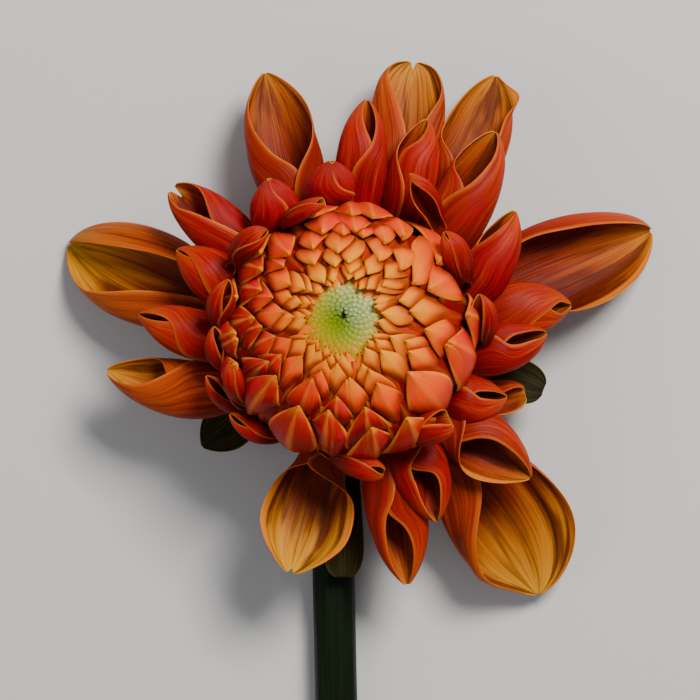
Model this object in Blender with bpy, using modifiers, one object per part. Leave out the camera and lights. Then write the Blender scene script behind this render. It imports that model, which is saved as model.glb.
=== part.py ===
"""A half-open dahlia flower on a short cut stem, laid on its back so that it faces up.

The head is a dome of overlapping scale petals round a green button. Rolled and cupped petals stand
out round the dome, leafy bracts grow from the green cup under it, and the stem bends at the neck
and lies along the surface towards -Y. +Z is up, and +Y is the top of the flower as it faces a viewer.
"""

import math
import random
from dataclasses import dataclass

import bmesh
import bpy
from mathutils import Euler, Matrix, Vector

MM = 0.001
SEED = 7
UP = Vector((0, 0, 1))

# Driving dimensions, in millimetres. The head's centre is at the origin, HEAD_HEIGHT above the surface.
HEAD_HEIGHT = 26.0
GAP = 0.3

HEAD_PLACE = (0.0, -1.5)
HEAD_TILT_DEG = 12.0
HEAD_LEAN_DEG = -3.0
CORE_RADIUS = 22.4
CORE_HEIGHT = 14.0
CORE_UNDERSIDE = 5.2
ENVELOPE_RADIUS = 25.6
ENVELOPE_HEIGHT = 17.6
ENVELOPE_UNDERSIDE = 6.7
UNDERSIDE_POWER = 3.0

FIRST_SCALE_DEG = 18.5
LAST_SCALE_DEG = 91.0
SCALE_STEP = 0.0138
SCALE_HALF_LENGTH = 0.245
SCALE_FORWARD = 0.03
SCALE_HALF_WIDTH = 0.175
SCALE_RISE = 2.1
SCALE_KEEL = 0.14
SCALE_KEEL_PLACE = 0.3
SCALE_SUNK = 1.3

BUTTON_RADIUS = 6.6
BUTTON_FLOOR = 10.4
BUTTON_RIM = 12.4
BUTTON_TOP = 13.9
BUTTON_PIT_RADIUS = 1.0
BUTTON_PIT_DEPTH = 1.6
BUTTON_FLORETS = 55
FLORET_RELIEF = 0.45
FLORET_RADIUS = 0.8
BUTTON_RINGS = 10
BUTTON_SIDES = 40

DISC_RADIUS = 15.0
DISC_TOP = -7.1
DISC_BOTTOM = -11.0

CUP_RADIUS = 9.6
CUP_TOP = -11.3
CUP_BOTTOM = -13.8

STEM_RADIUS = 3.9
STEM_END = -97.0
STEM_OFFSET = -3.4
STEM_SLANT = 0.022
STEM_SWAY_LENGTH = 42.0
STEM_NECK = 1.2
STEM_ARC_STEPS = 6
STEM_LEVEL_STEPS = 10

PETAL_THICKNESS = 0.7
TIP_START = 0.85
TIP_OPEN_DEG = 150.0
CLAW_END = 0.3
CLAW_OPEN_DEG = 110.0

GOLDEN_ANGLE = math.pi * (3 - math.sqrt(5))


@dataclass
class Petal:
    """A petal or bract. Its midrib runs from under the dome, past base, to tip, in millimetres.

    roll and open are the degrees that its cross-section turns through near the root and at the tip,
    and mouth and spread say where along it the one gives way to the other. turn swings the mouth
    round the petal's own axis, taper holds the two powers that shape its outline towards the tip,
    and blunt is the share of the width that the tip keeps.
    """

    tip: tuple
    base: tuple
    width: float
    roll: float
    open: float
    mouth: float
    turn: float = 0.0
    swing: float = 0.0
    sag: float = 0.0
    bulge: float = 0.0
    depth: float = 0.5
    widest: float = 0.5
    claw: float = 0.36
    spread: float = 0.4
    taper: tuple = (2.2, 0.85)
    blunt: float = 0.1
    root_radius: float = 12.4
    root_height: float = -8.4
    rows: int = 5
    columns: int = 5


# The wide golden petals at the back, clockwise from the upper left.
BACK_PETALS = [
    Petal((-15.3, 46.0, -17.0), (-10.0, 23.5, -14.0), 12.6, 320, 280, 0.55, turn=-14, depth=0.6,
          widest=0.45),
    Petal((12.2, 48.0, -18.0), (9.6, 24.0, -15.0), 13.4, 300, 286, 0.7, depth=0.4, blunt=0.6),
    Petal((27.2, 45.5, -17.5), (19.8, 21.5, -14.0), 12.6, 310, 254, 0.6, depth=0.45, widest=0.6),
    Petal((56.0, 17.2, -25.2), (26.5, 6.6, -14.0), 16.4, 290, 276, 0.5, bulge=3.0, rows=7),
    Petal((35.2, -49.6, -22.0), (22.0, -26.0, -14.5), 21.6, 290, 254, 0.45, depth=0.42, sag=-2.0,
          swing=4.5, widest=0.66),
    Petal((-10.2, -45.0, -4.5), (-4.4, -24.5, -11.6), 15.4, 290, 226, 0.42, sag=-4.0, depth=0.6,
          widest=0.72, spread=0.2),
    Petal((-51.2, 14.8, -25.2), (-25.6, 4.4, -14.0), 16.8, 270, 270, 0.4, turn=-28, bulge=3.0, rows=7),
]

# The rolled red petals in front of them, clockwise from the top.
ROLLED_PETALS = [
    Petal((3.6, 40.6, -6.5), (2.0, 24.0, -9.0), 9.4, 325, 290, 0.78, turn=-32, depth=0.7),
    Petal((14.4, 37.0, -6.0), (11.0, 22.5, -9.0), 9.0, 325, 290, 0.8, turn=20, depth=0.7),
    Petal((26.8, 34.8, -6.5), (19.6, 17.0, -8.5), 10.8, 322, 285, 0.62, turn=25, depth=0.65, widest=0.4,
          taper=(1.6, 0.9)),
    Petal((30.2, 20.4, -3.0), (25.0, 5.0, -7.5), 8.4, 325, 290, 0.75, turn=25, depth=0.7),
    Petal((40.6, 3.4, -7.0), (26.0, 2.6, -8.0), 10.4, 322, 290, 0.5, turn=-32, depth=0.6),
    Petal((36.0, -1.6, -6.0), (24.4, -6.6, -8.5), 8.0, 322, 290, 0.62, turn=38, depth=0.65),
    Petal((28.8, -13.2, -4.0), (20.6, -15.0, -8.0), 7.8, 322, 290, 0.68, turn=20, depth=0.7),
    Petal((32.4, -12.6, -11.0), (23.0, -14.5, -12.5), 6.0, 280, 240, 0.6, turn=-20, depth=0.6),
    Petal((33.2, -27.8, -6.5), (19.0, -17.0, -9.0), 11.6, 322, 277, 0.62, turn=-22, depth=0.6, spread=0.2),
    Petal((16.2, -35.6, -4.0), (12.6, -22.6, -8.0), 10.2, 322, 298, 0.62, turn=-6, depth=0.65, spread=0.25),
    Petal((10.9, -47.2, -8.5), (8.1, -25.0, -10.5), 11.4, 320, 298, 0.52, turn=-10, spread=0.3),
    Petal((-37.6, 1.8, -4.0), (-24.4, -3.4, -8.0), 8.8, 325, 300, 0.9, turn=14, depth=0.7),
    Petal((-30.6, 13.4, -2.0), (-22.6, 7.4, -7.0), 9.0, 325, 290, 0.84, turn=18, depth=0.75),
    Petal((-32.0, 24.6, -6.0), (-19.4, 14.0, -8.0), 9.6, 325, 313, 0.66, turn=-10, depth=0.65),
    Petal((-43.6, -8.4, -10.0), (-23.0, -14.5, -10.5), 10.4, 320, 300, 0.6, turn=-22, depth=0.55),
]

# The small red petals that stand round the dome, clockwise from the top.
COLLAR_PETALS = [
    Petal((-3.2, 28.8, 3.0), (-3.4, 27.6, -9.0), 8.6, 325, 300, 0.8, turn=-10, depth=0.55),
    Petal((4.2, 24.8, 6.5), (4.6, 27.0, -8.0), 7.6, 200, 150, 0.7, depth=0.35),
    Petal((11.7, 26.5, 5.0), (17.6, 20.6, -7.0), 8.0, 320, 250, 0.55, turn=20, depth=0.55),
    Petal((20.4, 16.0, 6.5), (23.0, 15.4, -6.0), 7.0, 220, 170, 0.7, depth=0.35),
    Petal((26.4, 0.8, 6.5), (27.6, 1.0, -5.0), 8.0, 200, 150, 0.7, depth=0.35),
    Petal((17.4, -21.6, 8.0), (18.4, -22.6, -3.0), 7.6, 230, 180, 0.7, depth=0.4),
    Petal((1.0, -28.2, 6.0), (1.2, -29.4, -4.0), 9.6, 220, 150, 0.7, depth=0.35),
    Petal((-22.4, -16.4, 3.0), (-18.2, -23.0, -6.0), 6.0, 250, 200, 0.7, depth=0.45),
    Petal((-25.4, -10.0, 4.0), (-25.4, -13.0, -5.0), 5.5, 250, 200, 0.7, depth=0.45),
    Petal((-26.6, -1.8, 5.5), (-28.0, -3.6, -5.0), 6.0, 220, 170, 0.7, depth=0.4),
    Petal((-25.2, 7.4, 6.0), (-27.6, 4.4, -5.0), 6.5, 220, 170, 0.7, depth=0.4),
    Petal((-20.2, 16.2, 6.5), (-23.2, 16.2, -6.0), 7.5, 220, 170, 0.7, depth=0.4),
    Petal((-13.9, 26.0, 4.0), (-15.4, 23.4, -7.0), 8.6, 325, 300, 0.8, turn=-20, depth=0.55),
]

# The leafy bracts under the head: three long ones that show, and short ones hidden under the dome.
BRACTS = [
    Petal((36.8, -12.2, -14.6), (20.0, -6.0, -14.6), 8.6, 110, 60, 0.5, depth=0.45, widest=0.75),
    Petal((-27.0, -20.2, -15.5), (-15.0, -11.5, -14.4), 8.4, 110, 60, 0.5, depth=0.45, widest=0.7),
    Petal((-0.6, -46.2, -14.6), (-0.6, -24.0, -14.6), 7.2, 90, 50, 0.5, depth=0.4, widest=0.8),
    Petal((15.5, 13.5, -21.0), (9.0, 8.0, -17.5), 7.6, 110, 60, 0.5, depth=0.45, widest=0.6),
    Petal((-15.5, 13.5, -21.0), (-9.0, 8.0, -17.5), 7.6, 110, 60, 0.5, depth=0.45, widest=0.6),
    Petal((-21.5, -1.0, -20.0), (-14.0, -1.0, -16.5), 7.6, 110, 60, 0.5, depth=0.45, widest=0.6),
    Petal((15.0, -19.0, -18.5), (10.0, -13.5, -14.5), 7.6, 110, 60, 0.5, depth=0.45, widest=0.6),
]
BRACT_ROOT_RADIUS = 7.4
BRACT_ROOT_HEIGHT = -12.2
BRACT_ROWS = 5
BRACT_COLUMNS = 4
COLLAR_ROOT_RADIUS = 14.0
COLLAR_ROOT_HEIGHT = -8.0
COLLAR_ROWS = 4
COLLAR_COLUMNS = 4

# Colours, with roughness, of the live surfaces.
FINISHES = {
    "golden_petal": ((0.76, 0.20, 0.035, 1), 0.5),
    "scale_petal": ((0.86, 0.17, 0.05, 1), 0.45),
    "green_button": ((0.30, 0.44, 0.03, 1), 0.5),
    "bract_green": ((0.05, 0.10, 0.02, 1), 0.55),
    "stem_green": ((0.04, 0.12, 0.02, 1), 0.45),
}


def clear_scene():
    for obj in list(bpy.data.objects):
        bpy.data.objects.remove(obj)


def make_collection(name):
    collection = bpy.data.collections.new(name)
    bpy.context.scene.collection.children.link(collection)
    return collection


def make_material(name):
    colour, roughness = FINISHES[name]
    material = bpy.data.materials.new(name)
    material.use_nodes = True
    shader = material.node_tree.nodes["Principled BSDF"]
    shader.inputs["Base Color"].default_value = colour
    shader.inputs["Roughness"].default_value = roughness
    shader.inputs["Metallic"].default_value = 0.0
    return material


def object_from(bm, name, collection):
    """Turns a bmesh in millimetres into an object in metres."""
    bmesh.ops.scale(bm, vec=(MM, MM, MM), verts=bm.verts)
    mesh = bpy.data.meshes.new(name)
    bm.to_mesh(mesh)
    bm.free()
    obj = bpy.data.objects.new(name, mesh)
    collection.objects.link(obj)
    return obj


def bake_modifiers(obj):
    """Applies an object's modifiers to its mesh."""
    graph = bpy.context.evaluated_depsgraph_get()
    mesh = bpy.data.meshes.new_from_object(obj.evaluated_get(graph))
    obj.modifiers.clear()
    old = obj.data
    obj.data = mesh
    bpy.data.meshes.remove(old)
    return obj


def fuse(obj, pieces):
    """Joins every object of a collection to obj, and removes the collection's objects."""
    union = obj.modifiers.new("Join pieces", "BOOLEAN")
    union.operation = "UNION"
    union.operand_type = "COLLECTION"
    union.collection = pieces
    union.solver = "MANIFOLD"
    bake_modifiers(obj)
    for piece in list(pieces.objects):
        bpy.data.objects.remove(piece)
    bpy.data.collections.remove(pieces)
    return keep_skin(obj)


def keep_skin(obj):
    """Keeps the one closed skin with the most points: sealed hollows are filled and scraps dropped."""
    bm = bmesh.new()
    bm.from_mesh(obj.data)
    waiting = set(bm.verts)
    skin = set()
    while waiting:
        edge_of_search = [waiting.pop()]
        island = set(edge_of_search)
        while edge_of_search:
            vert = edge_of_search.pop()
            fresh = {edge.other_vert(vert) for edge in vert.link_edges} & waiting
            waiting -= fresh
            island |= fresh
            edge_of_search.extend(fresh)
        skin = max(skin, island, key=len)
    bmesh.ops.delete(bm, geom=[vert for vert in bm.verts if vert not in skin], context="VERTS")
    bm.to_mesh(obj.data)
    bm.free()
    return obj


def cut(obj, cutter):
    """Cuts one object from another."""
    cutter.hide_render = True
    cutter.display_type = "WIRE"
    difference = obj.modifiers.new("Cut " + cutter.name, "BOOLEAN")
    difference.operation = "DIFFERENCE"
    difference.object = cutter
    difference.solver = "MANIFOLD"
    return keep_skin(bake_modifiers(obj))


def turned(profile, name, collection, segments):
    """A solid of revolution about Z, from a profile of (radius, height) that runs from the top down."""
    bm = bmesh.new()
    verts = [bm.verts.new((radius, 0, height)) for radius, height in profile]
    for first, second in zip(verts, verts[1:]):
        bm.edges.new((first, second))
    obj = object_from(bm, name, collection)
    screw = obj.modifiers.new("Turn", "SCREW")
    screw.axis = "Z"
    screw.steps = segments
    screw.render_steps = segments
    screw.use_merge_vertices = True
    screw.merge_threshold = MM * 0.01
    return bake_modifiers(obj)


def smooth_step(t):
    t = min(max(t, 0.0), 1.0)
    return t * t * (3 - 2 * t)


def head_matrix():
    """Places what is modelled upright about the head's centre, tilted as the head is, in millimetres."""
    tilt = Euler((-math.radians(HEAD_TILT_DEG), math.radians(HEAD_LEAN_DEG), 0)).to_matrix().to_4x4()
    return Matrix.Translation((*HEAD_PLACE, 0)) @ tilt


def tilt_with_head(obj):
    """Moves an object that was modelled upright to its place on the tilted head."""
    place = head_matrix()
    place.translation *= MM
    obj.matrix_world = place
    return obj


def midrib_points(petal):
    """The four control points of the midrib, and the direction across the petal."""
    base = Vector(petal.base)
    tip = Vector(petal.tip)
    outward = Vector((base.x, base.y, 0)).normalized()
    root = head_matrix() @ (outward * petal.root_radius + UP * petal.root_height)
    heading = tip - root
    across = UP.cross(Vector((heading.x, heading.y, 0))).normalized()
    bend = base.lerp(tip, 0.55) + across * petal.swing + UP * petal.sag + outward * petal.bulge
    return (root, base, bend, tip), across


def midrib_frame(petal, u):
    """The midrib's point at u, and the directions across and up from it there."""
    (root, base, bend, tip), across = midrib_points(petal)
    left = 1 - u
    centre = root * left**3 + base * 3 * left**2 * u + bend * 3 * left * u**2 + tip * u**3
    slope = (base - root) * left**2 + (bend - base) * 2 * left * u + (tip - bend) * u**2
    along = slope.normalized()
    above = along.cross(across).normalized()
    return centre, above.cross(along), above


def half_width(petal, u):
    """Half the petal's width at u: a claw at the root, its widest place, then a pointed tip."""
    if u < petal.widest:
        share = petal.claw + (1 - petal.claw) * smooth_step(u / petal.widest)
    else:
        beyond = (u - petal.widest) / (1 - petal.widest)
        fullness, roundness = petal.taper
        share = petal.blunt + (1 - petal.blunt) * (1 - beyond**fullness) ** roundness
    return petal.width / 2 * share


def section_degrees(petal, u):
    """How far the petal's cross-section turns at u: open at the claw, rolled, open beyond the mouth."""
    opening = smooth_step((u - petal.mouth) / petal.spread + 0.5)
    degrees = petal.roll + (petal.open - petal.roll) * opening
    unrolled = smooth_step((u - TIP_START) / (1 - TIP_START))
    degrees += (min(degrees, TIP_OPEN_DEG) - degrees) * unrolled
    rolled = smooth_step(u / CLAW_END)
    return CLAW_OPEN_DEG + (degrees - CLAW_OPEN_DEG) * rolled


def petal_point(petal, u, v):
    """The petal's surface at u along the midrib and v across it, from -1 to 1."""
    half_angle = math.radians(section_degrees(petal, u)) / 2
    radius = half_width(petal, u) / math.sin(min(half_angle, math.pi / 2))
    centre, across, above = midrib_frame(petal, u)
    axis = centre + above * petal.depth * radius
    angle = v * half_angle + math.radians(petal.turn)
    return axis + across * radius * math.sin(angle) - above * petal.depth * radius * math.cos(angle)


def add_blade(petal, name, collection):
    """A blade of even thickness over the petal's surface."""
    bm = bmesh.new()
    bmesh.ops.create_grid(bm, x_segments=petal.rows, y_segments=petal.columns, size=1)
    for vert in bm.verts:
        vert.co = petal_point(petal, (vert.co.x + 1) / 2, vert.co.y)
    bmesh.ops.triangulate(bm, faces=bm.faces, quad_method="FIXED")
    blade = object_from(bm, name, collection)
    wall = blade.modifiers.new("Thickness", "SOLIDIFY")
    wall.thickness = PETAL_THICKNESS * MM
    wall.offset = 0
    return bake_modifiers(blade)


def make_outer_petals(collection):
    """The rolled and cupped petals, on the fleshy disc that carries them."""
    disc = turned(
        [
            (0, DISC_TOP),
            (DISC_RADIUS - 2.0, DISC_TOP - 0.4),
            (DISC_RADIUS, DISC_TOP - 2.0),
            (DISC_RADIUS - 1.2, DISC_BOTTOM + 1.2),
            (DISC_RADIUS - 5.0, DISC_BOTTOM),
            (0, DISC_BOTTOM),
        ],
        "outer_petals",
        collection,
        32,
    )
    tilt_with_head(disc)
    pieces = make_collection("Outer petal pieces")
    for petal in BACK_PETALS + ROLLED_PETALS:
        add_blade(petal, "petal", pieces)
    for petal in COLLAR_PETALS:
        petal.root_radius = COLLAR_ROOT_RADIUS
        petal.root_height = COLLAR_ROOT_HEIGHT
        petal.rows = COLLAR_ROWS
        petal.columns = COLLAR_COLUMNS
        add_blade(petal, "collar petal", pieces)
    return fuse(disc, pieces)


def ellipse_profile(radius, height, underside, steps):
    """A dome's profile from its crown down: a quarter ellipse, then a fuller curve under it."""
    profile = []
    for step in range(steps + 1):
        angle = math.pi / 2 * step / steps
        profile.append((radius * math.sin(angle), height * math.cos(angle)))
    for step in range(1, steps + 1):
        angle = math.pi / 2 * step / steps
        out = radius * math.cos(angle) ** (2 / UNDERSIDE_POWER)
        profile.append((out, -underside * math.sin(angle) ** (2 / UNDERSIDE_POWER)))
    profile[0] = (0, profile[0][1])
    profile[-1] = (0, profile[-1][1])
    return profile


def scale_angles():
    """Polar angles of the dome's scales: even steps of a spiral in which each keeps its shape."""
    angle = math.radians(FIRST_SCALE_DEG)
    angles = []
    while angle < math.radians(LAST_SCALE_DEG):
        angles.append(angle)
        arc = math.hypot(CORE_RADIUS * math.cos(angle), CORE_HEIGHT * math.sin(angle))
        angle += SCALE_STEP * CORE_RADIUS * math.sin(angle) / arc
    return angles


def scale_frame(polar, azimuth):
    """A matrix whose X points to the crown along the dome, and Z out of it."""
    radius = CORE_RADIUS * math.sin(polar)
    place = Vector((radius * math.cos(azimuth), radius * math.sin(azimuth), CORE_HEIGHT * math.cos(polar)))
    out = Vector((place.x / CORE_RADIUS**2, place.y / CORE_RADIUS**2, place.z / CORE_HEIGHT**2))
    out.normalize()
    side = out.cross(UP).normalized()
    to_crown = side.cross(out)
    return Matrix.Translation(place) @ Matrix((to_crown, side, out)).transposed().to_4x4()


def add_scale(polar, azimuth, radius, rise, collection):
    """A scale petal: a kite-shaped plate with a keel, its root sunk and its tip standing clear."""
    bm = bmesh.new()
    bmesh.ops.create_cone(bm, cap_ends=True, segments=4, radius1=0.7, radius2=1.0, depth=2)
    lid = max(bm.faces, key=lambda face: face.calc_center_median().z)
    keel = bmesh.ops.poke(bm, faces=[lid])["verts"][0]
    keel.co = (SCALE_KEEL_PLACE, 0, 1)
    for vert in bm.verts:
        lift = -SCALE_SUNK
        if vert.co.z > 0:
            forward = (vert.co.x + 1) / 2
            lift = rise * (forward + (SCALE_KEEL if vert is keel else 0))
        along = radius * (SCALE_HALF_LENGTH * vert.co.x + SCALE_FORWARD)
        vert.co = (along, vert.co.y * radius * SCALE_HALF_WIDTH, lift)
    bmesh.ops.recalc_face_normals(bm, faces=bm.faces)
    bmesh.ops.transform(bm, matrix=scale_frame(polar, azimuth), verts=bm.verts)
    return object_from(bm, "scale", collection)


def make_dome(collection):
    """The dome of scale petals on the core they grow from."""
    draw = random.Random(SEED)
    core = turned(
        ellipse_profile(CORE_RADIUS, CORE_HEIGHT, CORE_UNDERSIDE, 5), "dome_petals", collection, 24
    )
    pieces = make_collection("Scale pieces")
    for number, polar in enumerate(scale_angles()):
        azimuth = number * GOLDEN_ANGLE + draw.uniform(-0.03, 0.03)
        radius = CORE_RADIUS * math.sin(polar)
        rise = SCALE_RISE * min(1.0, 0.45 + 0.6 * math.sin(polar)) * draw.uniform(0.92, 1.08)
        add_scale(polar, azimuth, radius, rise, pieces)
    return fuse(core, pieces)


def make_button(collection):
    """The green centre: a low cushion of tiny unopened florets round a pit."""
    bm = bmesh.new()
    bmesh.ops.create_circle(bm, cap_ends=False, segments=BUTTON_SIDES, radius=BUTTON_RADIUS)
    rim = list(bm.edges)
    for left in range(BUTTON_RINGS - 1, 0, -1):
        extruded = bmesh.ops.extrude_edge_only(bm, edges=rim)["geom"]
        rim = [item for item in extruded if isinstance(item, bmesh.types.BMEdge)]
        verts = [item for item in extruded if isinstance(item, bmesh.types.BMVert)]
        scale = left / (left + 1)
        bmesh.ops.scale(bm, vec=(scale, scale, 1), verts=verts)
    bmesh.ops.contextual_create(bm, geom=rim)
    florets = [
        (BUTTON_RADIUS * math.sqrt((number + 0.5) / BUTTON_FLORETS), number * GOLDEN_ANGLE)
        for number in range(2, BUTTON_FLORETS)
    ]
    for vert in bm.verts:
        radius = math.hypot(vert.co.x, vert.co.y)
        height = BUTTON_TOP - (BUTTON_TOP - BUTTON_RIM) * (radius / BUTTON_RADIUS) ** 2
        nearest = min(
            math.hypot(vert.co.x - reach * math.cos(angle), vert.co.y - reach * math.sin(angle))
            for reach, angle in florets
        )
        height += FLORET_RELIEF * max(0.0, 1 - nearest / FLORET_RADIUS)
        height -= BUTTON_PIT_DEPTH * (1 - smooth_step(radius / (2 * BUTTON_PIT_RADIUS)))
        vert.co.z = height
    outline = [edge for edge in bm.edges if edge.is_boundary]
    wall = bmesh.ops.extrude_edge_only(bm, edges=outline)["geom"]
    foot = [item for item in wall if isinstance(item, bmesh.types.BMVert)]
    for vert in foot:
        vert.co.z = BUTTON_FLOOR
    bmesh.ops.contextual_create(bm, geom=[e for e in bm.edges if e.is_boundary])
    bmesh.ops.triangulate(bm, faces=[face for face in bm.faces if len(face.verts) > 4])
    bmesh.ops.recalc_face_normals(bm, faces=bm.faces)
    return object_from(bm, "button", collection)


def button_socket(collection):
    """A cutter that leaves the button its room in the crown of the dome."""
    radius = BUTTON_RADIUS + GAP
    return turned(
        [
            (0, BUTTON_TOP + 3 * GAP),
            (radius * 0.6, BUTTON_TOP + 2 * GAP),
            (radius, BUTTON_RIM + 3 * GAP),
            (radius, BUTTON_FLOOR - GAP),
            (0, BUTTON_FLOOR - GAP),
        ],
        "button socket",
        collection,
        40,
    )


def make_calyx(collection):
    """The green cup under the petals, with its leafy bracts."""
    cup = turned(
        [
            (0, CUP_TOP),
            (CUP_RADIUS, CUP_TOP),
            (CUP_RADIUS - 0.6, CUP_TOP - 0.9),
            (STEM_RADIUS + 1.6, CUP_BOTTOM + 0.4),
            (STEM_RADIUS + 0.6, CUP_BOTTOM),
            (0, CUP_BOTTOM),
        ],
        "calyx",
        collection,
        28,
    )
    tilt_with_head(cup)
    pieces = make_collection("Bract pieces")
    for bract in BRACTS:
        bract.root_radius = BRACT_ROOT_RADIUS
        bract.root_height = BRACT_ROOT_HEIGHT
        bract.rows = BRACT_ROWS
        bract.columns = BRACT_COLUMNS
        add_blade(bract, "bract", pieces)
    return fuse(cup, pieces)


def stem_points():
    """The stem's centreline: a short neck in line with the tilted cup, an arc, then level to the cut."""
    top = head_matrix() @ Vector((0, 0, CUP_BOTTOM - GAP))
    start = head_matrix() @ Vector((0, 0, CUP_BOTTOM - GAP - STEM_NECK))
    tilt = math.radians(HEAD_TILT_DEG)
    level = STEM_RADIUS - HEAD_HEIGHT
    bend = (start.z - level) / (1 - math.sin(tilt))
    side_view = []
    for step in range(STEM_ARC_STEPS + 1):
        angle = tilt + (math.pi / 2 - tilt) * step / STEM_ARC_STEPS
        y = start.y - bend * (math.cos(tilt) - math.cos(angle))
        side_view.append((y, start.z - bend * (math.sin(angle) - math.sin(tilt))))
    level_start = side_view[-1][0]
    for step in range(1, STEM_LEVEL_STEPS + 1):
        y = level_start + (STEM_END - level_start) * step / STEM_LEVEL_STEPS
        side_view.append((y, level))
    points = [tuple(top)]
    for y, z in side_view:
        run = start.y - y
        line = STEM_OFFSET + STEM_SLANT * run
        points.append((start.x + (line - start.x) * smooth_step(run / STEM_SWAY_LENGTH), y, z))
    return points


def make_stem(collection):
    """The cut stem: it leaves the cup, bends at the neck and lies along the surface towards -Y."""
    points = stem_points()
    curve = bpy.data.curves.new("stem", "CURVE")
    curve.dimensions = "3D"
    curve.bevel_depth = STEM_RADIUS * MM
    curve.bevel_resolution = 3
    curve.use_fill_caps = True
    spline = curve.splines.new("POLY")
    spline.points.add(len(points) - 1)
    for point, place in zip(spline.points, points):
        point.co = (*(coordinate * MM for coordinate in place), 1)
    stem = bpy.data.objects.new("stem", curve)
    collection.objects.link(stem)
    return stem


def seat_on_surface(nodes):
    """Sets the origin at the middle of the flower's footprint, on the surface it lies on."""
    bpy.context.view_layer.update()
    graph = bpy.context.evaluated_depsgraph_get()
    corners = []
    for obj in nodes:
        mesh = obj.evaluated_get(graph).to_mesh()
        corners += [obj.matrix_world @ vert.co for vert in mesh.vertices]
        obj.evaluated_get(graph).to_mesh_clear()
    low = Vector(map(min, zip(*corners)))
    high = Vector(map(max, zip(*corners)))
    flower = bpy.data.objects.new("Dahlia", None)
    nodes[0].users_collection[0].objects.link(flower)
    flower.location = (-(low.x + high.x) / 2, -(low.y + high.y) / 2, -low.z)
    for obj in nodes:
        obj.parent = flower


def main():
    clear_scene()
    flower = make_collection("Dahlia flower")
    cutters = make_collection("Cutters")
    dome = make_dome(flower)
    cut(dome, button_socket(cutters))
    button = make_button(flower)
    tilt_with_head(dome)
    tilt_with_head(button)
    envelope = turned(
        ellipse_profile(ENVELOPE_RADIUS, ENVELOPE_HEIGHT, ENVELOPE_UNDERSIDE, 6),
        "dome envelope",
        cutters,
        28,
    )
    tilt_with_head(envelope)
    petals = cut(make_outer_petals(flower), envelope)
    calyx = make_calyx(flower)
    stem = make_stem(flower)
    finishes = {
        petals: "golden_petal",
        dome: "scale_petal",
        button: "green_button",
        calyx: "bract_green",
        stem: "stem_green",
    }
    for obj, finish in finishes.items():
        obj.data.materials.clear()
        obj.data.materials.append(make_material(finish))
        if obj.type == "MESH":
            obj.data.shade_smooth()
            obj.data.set_sharp_from_angle(angle=math.radians(40))
    seat_on_surface(list(finishes))


main()
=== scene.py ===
# %% [markdown]
# # A dahlia flower, dressed
#
# This lesson dresses a plain model of a half-open dahlia. Here each of them gets the fine, curled and
# coloured surface that a real flower has. All lengths are in millimetres until a mesh is finished,
# because petals are easier to think about that way.

# %% Load the frame
import math
import random
from dataclasses import dataclass

import bpy
from mathutils import Euler, Matrix, Vector, noise


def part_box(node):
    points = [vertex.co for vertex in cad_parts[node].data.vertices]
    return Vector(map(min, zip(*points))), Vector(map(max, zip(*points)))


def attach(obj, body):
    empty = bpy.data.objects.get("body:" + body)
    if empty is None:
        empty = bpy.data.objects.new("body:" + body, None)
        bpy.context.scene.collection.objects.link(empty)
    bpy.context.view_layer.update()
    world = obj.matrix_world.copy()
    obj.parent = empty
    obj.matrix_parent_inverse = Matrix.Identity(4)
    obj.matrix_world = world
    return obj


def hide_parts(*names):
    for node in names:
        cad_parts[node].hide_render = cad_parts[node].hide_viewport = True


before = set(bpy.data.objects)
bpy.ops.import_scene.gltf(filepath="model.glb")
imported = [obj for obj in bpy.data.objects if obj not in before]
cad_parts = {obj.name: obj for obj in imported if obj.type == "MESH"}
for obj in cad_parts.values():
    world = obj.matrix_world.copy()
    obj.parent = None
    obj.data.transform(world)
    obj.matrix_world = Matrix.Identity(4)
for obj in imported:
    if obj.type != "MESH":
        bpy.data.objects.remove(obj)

MM = 0.001
UP = Vector((0, 0, 1))
GOLDEN_ANGLE = math.pi * (3 - math.sqrt(5))

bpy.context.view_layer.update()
print("Nodes:", sorted(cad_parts))

# %% [markdown]
# ## Where the head is
#
# Every petal is placed from the middle of the flower head. The stem was cut 97 mm below that point,
# and the head's middle floats 26 mm over the surface, so both show where the middle lies in the frame.
# The head leans back a little, so everything that belongs to it is tilted by one matrix.

# %% The head's middle and its tilt
HEAD_HEIGHT = 26.0
STEM_REACH = 97.0
HEAD_TILT_DEG = 12.0
HEAD_LEAN_DEG = -3.0
HEAD_PLACE = (0.0, -1.5, 0.0)
HEAD_ACROSS = -2.46

stem_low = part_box("stem")[0]
head_centre = Vector((HEAD_ACROSS, stem_low.y / MM + STEM_REACH, HEAD_HEIGHT))
head_tilt = Matrix.Translation(HEAD_PLACE) @ Euler(
    (-math.radians(HEAD_TILT_DEG), math.radians(HEAD_LEAN_DEG), 0)
).to_matrix().to_4x4()
print("The head's middle, in mm:", [round(value, 2) for value in head_centre])

# %% [markdown]
# ## Camera, floor and lights
#
# The flower lies on its back, so the camera looks straight down. A long lens from a metre away keeps
# the petals from spreading. One large soft light stands above the top right, a weaker one fills the
# shadows from the left, and a pale floor throws a little light back up.

# %% Camera
VIEW_WIDTH = 126.0
VIEW_MIDDLE = Vector((0.54, -4.68, 0))
CAMERA_DISTANCE = 1000.0
SENSOR_WIDTH = 36.0

camera_data = bpy.data.cameras.new("Camera")
camera_data.sensor_width = SENSOR_WIDTH
camera_data.lens = SENSOR_WIDTH * CAMERA_DISTANCE / VIEW_WIDTH
camera = bpy.data.objects.new("Camera", camera_data)
bpy.context.scene.collection.objects.link(camera)
camera.location = (head_centre + VIEW_MIDDLE + UP * CAMERA_DISTANCE) * MM
bpy.context.scene.camera = camera
print("Lens:", round(camera_data.lens), "mm")

# %% Soft studio light
LIGHT_AIM = Vector((0, 0.02, 0.02))


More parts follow.
